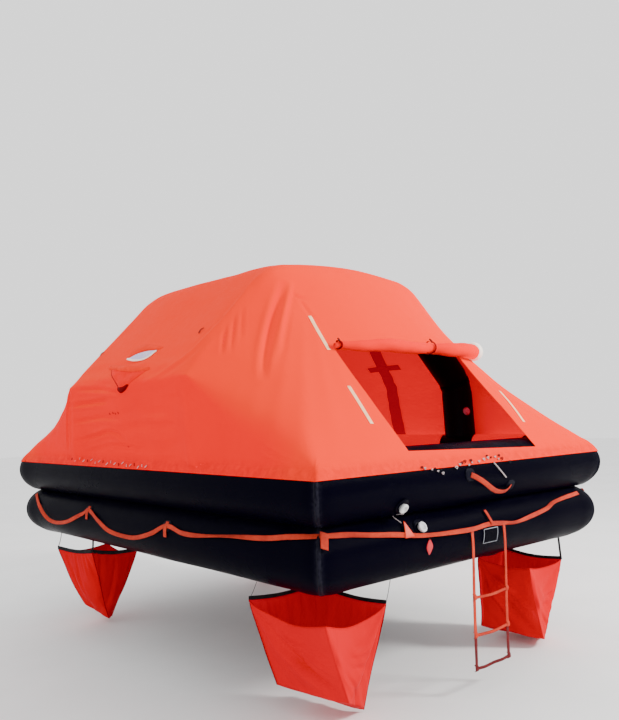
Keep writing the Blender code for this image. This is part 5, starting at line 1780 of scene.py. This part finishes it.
def finish_pocket(bag, name, x, y):
    """Cloth thickness, hem, lip cord, seams and ties."""
    quarter = POCKET_COLUMNS // 4
    points = points_of(bag.data.vertices)
    grid = points[:POCKET_ROWS * POCKET_COLUMNS].reshape(POCKET_ROWS, POCKET_COLUMNS, 3)
    mark_wear(bag, 0.25 * np.exp(-(points[:, 2] - points[:, 2].min()) / 0.03))
    wall = bag.modifiers.new("wall", "SOLIDIFY")
    wall.thickness = 0.0016
    wall.offset = -1
    wall.material_offset = 1
    belongs(bag, "pocket_red", name)
    rim_line = grid[0]
    middle = np.array((x, y, 0))
    back = np.concatenate((rim_line[2 * quarter:], rim_line[:1]))
    out = unit((back - middle) * (1, 1, 0))
    hem = strap(name + "_hem", back + out * 0.0005 + (0, 0, 0.005), out, 0.026, 0.0016, BLACK_STRAP)
    belongs(hem, "pouch_black")
    belongs(cord(name + "_lip", rim_line[:2 * quarter + 1], 0.0026, RED), "pocket_red")
    seams = [cord(f"{name}_seam_part", grid[:, corner * quarter], 0.0018, cloth, 7)
             for corner, cloth in enumerate((DARK_SEAM_AND_SHADE, RED, DARK_SEAM_AND_SHADE, DARK_SEAM_AND_SHADE))]
    belongs(joined(name + "_seams", seams), "pocket_red")
    ties = []
    for corner in (0, 2, 3):
        start = rim_line[corner * quarter]
        end = pocket_anchor(start, x, y)
        if np.linalg.norm(end - start) > 0.03:
            path = smooth_path([start, (start + end) / 2 + np.array((0.003, 0.002, -0.003)), end], 8)
            facing = [unit(middle * -1)] * len(path)
            if corner == 3:
                ties.append(strap(f"{name}_tie_part", path, facing, 0.024, 0.002, BLACK_STRAP))
            else:
                ties.append(cord(f"{name}_tie_part", path, POCKET_TIES[name][corner // 2], BLACK_STRAP, 8))
    belongs(joined(name + "_ties", ties), "pouch_black")


BAGS = [make_bag(*row) for row in POCKETS]
hang(BAGS)
for bag, (name, x, y, _, wide, foot, *_) in zip(BAGS, POCKETS):
    finish_pocket(bag, name, x, y)


# Gas cylinder and its straps, righting straps and tow patches

CYLINDER_ANGLE = -42
TOW_ANGLE = -32


def make_cylinder():
    """The gas cylinder under the right-hand tube with its hose and two bands."""
    centre = tube_point(LOWER, "right", 0.0, CYLINDER_ANGLE, 0.061)
    profile = [(0.0, -0.279), (0.018, -0.277), (0.036, -0.268), (0.048, -0.252), (0.0545, -0.228),
               (0.0545, 0.205),
               (0.050, 0.228), (0.040, 0.245), (0.026, 0.256), (0.018, 0.260), (0.018, 0.272), (0.0, 0.272)]
    body = lathe("gas_cylinder_body", profile, centre, (0, 1, 0), STEEL, 64, turn=(0, 0, 1))
    belongs(body, "steel_grey", "gas_cylinder")
    head = [(0.0, 0.262), (0.013, 0.262), (0.013, 0.275), (0.0165, 0.276), (0.0165, 0.279), (0.0, 0.279)]
    belongs(lathe("gas_cylinder_neck", head, centre, (0, 1, 0), BRASS, 24, turn=(0, 0, 1)), "steel_grey")
    hose = [centre + (0.0, 0.270, 0.012), centre + (-0.006, 0.300, 0.030), centre + (-0.030, 0.318, 0.052),
            tube_point(LOWER, "right", 0.325, -24, 0.007)]
    belongs(cord("gas_hose", smooth_path(hose, 8), 0.0065, BLACK_CORD, 12), "pouch_black")
    for index, along in ((1, -0.15), (2, 0.15)):
        path, normals = [], []
        for angle in np.linspace(-186, 102, 60):
            turn = radians(angle + CYLINDER_ANGLE)
            out = np.array((cos(turn), 0, sin(turn)))
            place = centre + out * 0.0552 + np.array((0, along, 0))
            away = np.hypot(place[0] - LOWER[0], place[2] - LOWER[2])
            if away > TUBE_R + 0.003:
                path.append(place)
                normals.append(out)
        item = strap(f"cylinder_band_{index}", path, normals, 0.050, 0.004, BLACK_STRAP)
        belongs(item, "pouch_black", f"cylinder_strap_{index}")
        spot = (LOWER, "right", along, CYLINDER_ANGLE)
        tube_patch(f"cylinder_band_patch_{index}", *spot, 0.085, 0.150, 0.0024)


def make_righting_straps():
    """Two straps under the floor and the rungs between them."""
    z = -0.0058
    for index, y in enumerate((-0.22, 0.22)):
        xs = np.linspace(-0.775, 0.775, 90)
        path = [(x, y, z - 0.0012 * (1 + sin(x * 14 + index))) for x in xs]
        item = strap(f"righting_strap_{index}", path, [(0, 0, -1)] * len(path), 0.040, 0.0028, STRAP)
        belongs(item, "webbing_orange")
        if index == 0:
            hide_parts("righting_straps")
    for index, x in enumerate((-0.55, 0.0, 0.55)):
        path = [(x, y, z - 0.0050 - 0.0008 * sin(y * 20)) for y in np.linspace(-0.235, 0.235, 30)]
        rung = strap(f"righting_rung_{index}", path, [(0, 0, -1)] * len(path), 0.038, 0.0024, STRAP)
        belongs(rung, "webbing_orange")


def make_tow_points():
    """A patch, a keeper and a ring at each end of the rear tube."""
    down = np.array((0, sin(radians(TOW_ANGLE)), -cos(radians(TOW_ANGLE))))
    for name, along in (("left", -0.55), ("right", 0.55)):
        spot = (LOWER, "rear", along, TOW_ANGLE)
        patch = tube_patch(f"tow_patch_{name}_pad", *spot, 0.140, 0.110, 0.004, TAPE, "pouch_black", 0.0004)
        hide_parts(f"tow_patch_{name}")
        tube_patch(f"tow_keeper_{name}", *spot, 0.040, 0.085, 0.0026, BLACK_STRAP, "pouch_black", 0.0052)
        centre = tube_point(*spot, 0.0115)
        loop = []
        for k in range(33):
            angle = 2 * pi * k / 32
            drop = 0.020 * sin(angle) * (1 + 0.25 * (sin(angle) > 0))
            loop.append(centre + (0.030 * cos(angle), 0, 0) + down * drop)
        belongs(sweep(f"tow_ring_{name}", loop, round_section(0.0035, 12), STEEL), "steel_grey")


make_cylinder()
make_righting_straps()
make_tow_points()


# Floor and light

# Just below the lowest hanging piece
STUDIO_FLOOR = -0.640
SKY_STRENGTH = 1.55


def make_stage():
    size = 30.0
    verts = [(x, y, STUDIO_FLOOR) for x, y in ((-size, -size), (size, -size), (size, size), (-size, size))]
    item = piece("studio_floor", verts, [(0, 1, 2, 3)], [], smooth=False)
    finish = Finish("studio_floor", 0.7)
    cloudy = finish.remap(finish.noise(2.0, 3), 0.3, 0.7)
    finish.colour(finish.mix(cloudy, (0.86, 0.86, 0.86), (0.90, 0.90, 0.90)))
    item.data.materials.append(finish.material)


def add_light(name, place, target, energy, size, colour=(1, 1, 1)):
    data = bpy.data.lights.new(name, "AREA")
    data.energy = energy
    data.shape = "DISK"
    data.size = size
    data.color = colour
    item = bpy.data.objects.new(name, data)
    item.location = place
    item.rotation_euler = (Vector(target) - Vector(place)).to_track_quat("-Z", "Y").to_euler()
    bpy.context.scene.collection.objects.link(item)


make_stage()
world = bpy.data.worlds.new("studio")
bpy.context.scene.world = world
world.use_nodes = True
world.node_tree.nodes["Background"].inputs["Color"].default_value = (1.0, 1.0, 1.0, 1.0)
world.node_tree.nodes["Background"].inputs["Strength"].default_value = SKY_STRENGTH
add_light("key", (4.6, -6.8, 4.4), (0.0, -0.6, 0.7), 920, 1.6, (1.0, 0.98, 0.95))
add_light("top", (-0.5, 0.6, 7.0), (0.0, 0.0, 0.8), 40, 4.0)
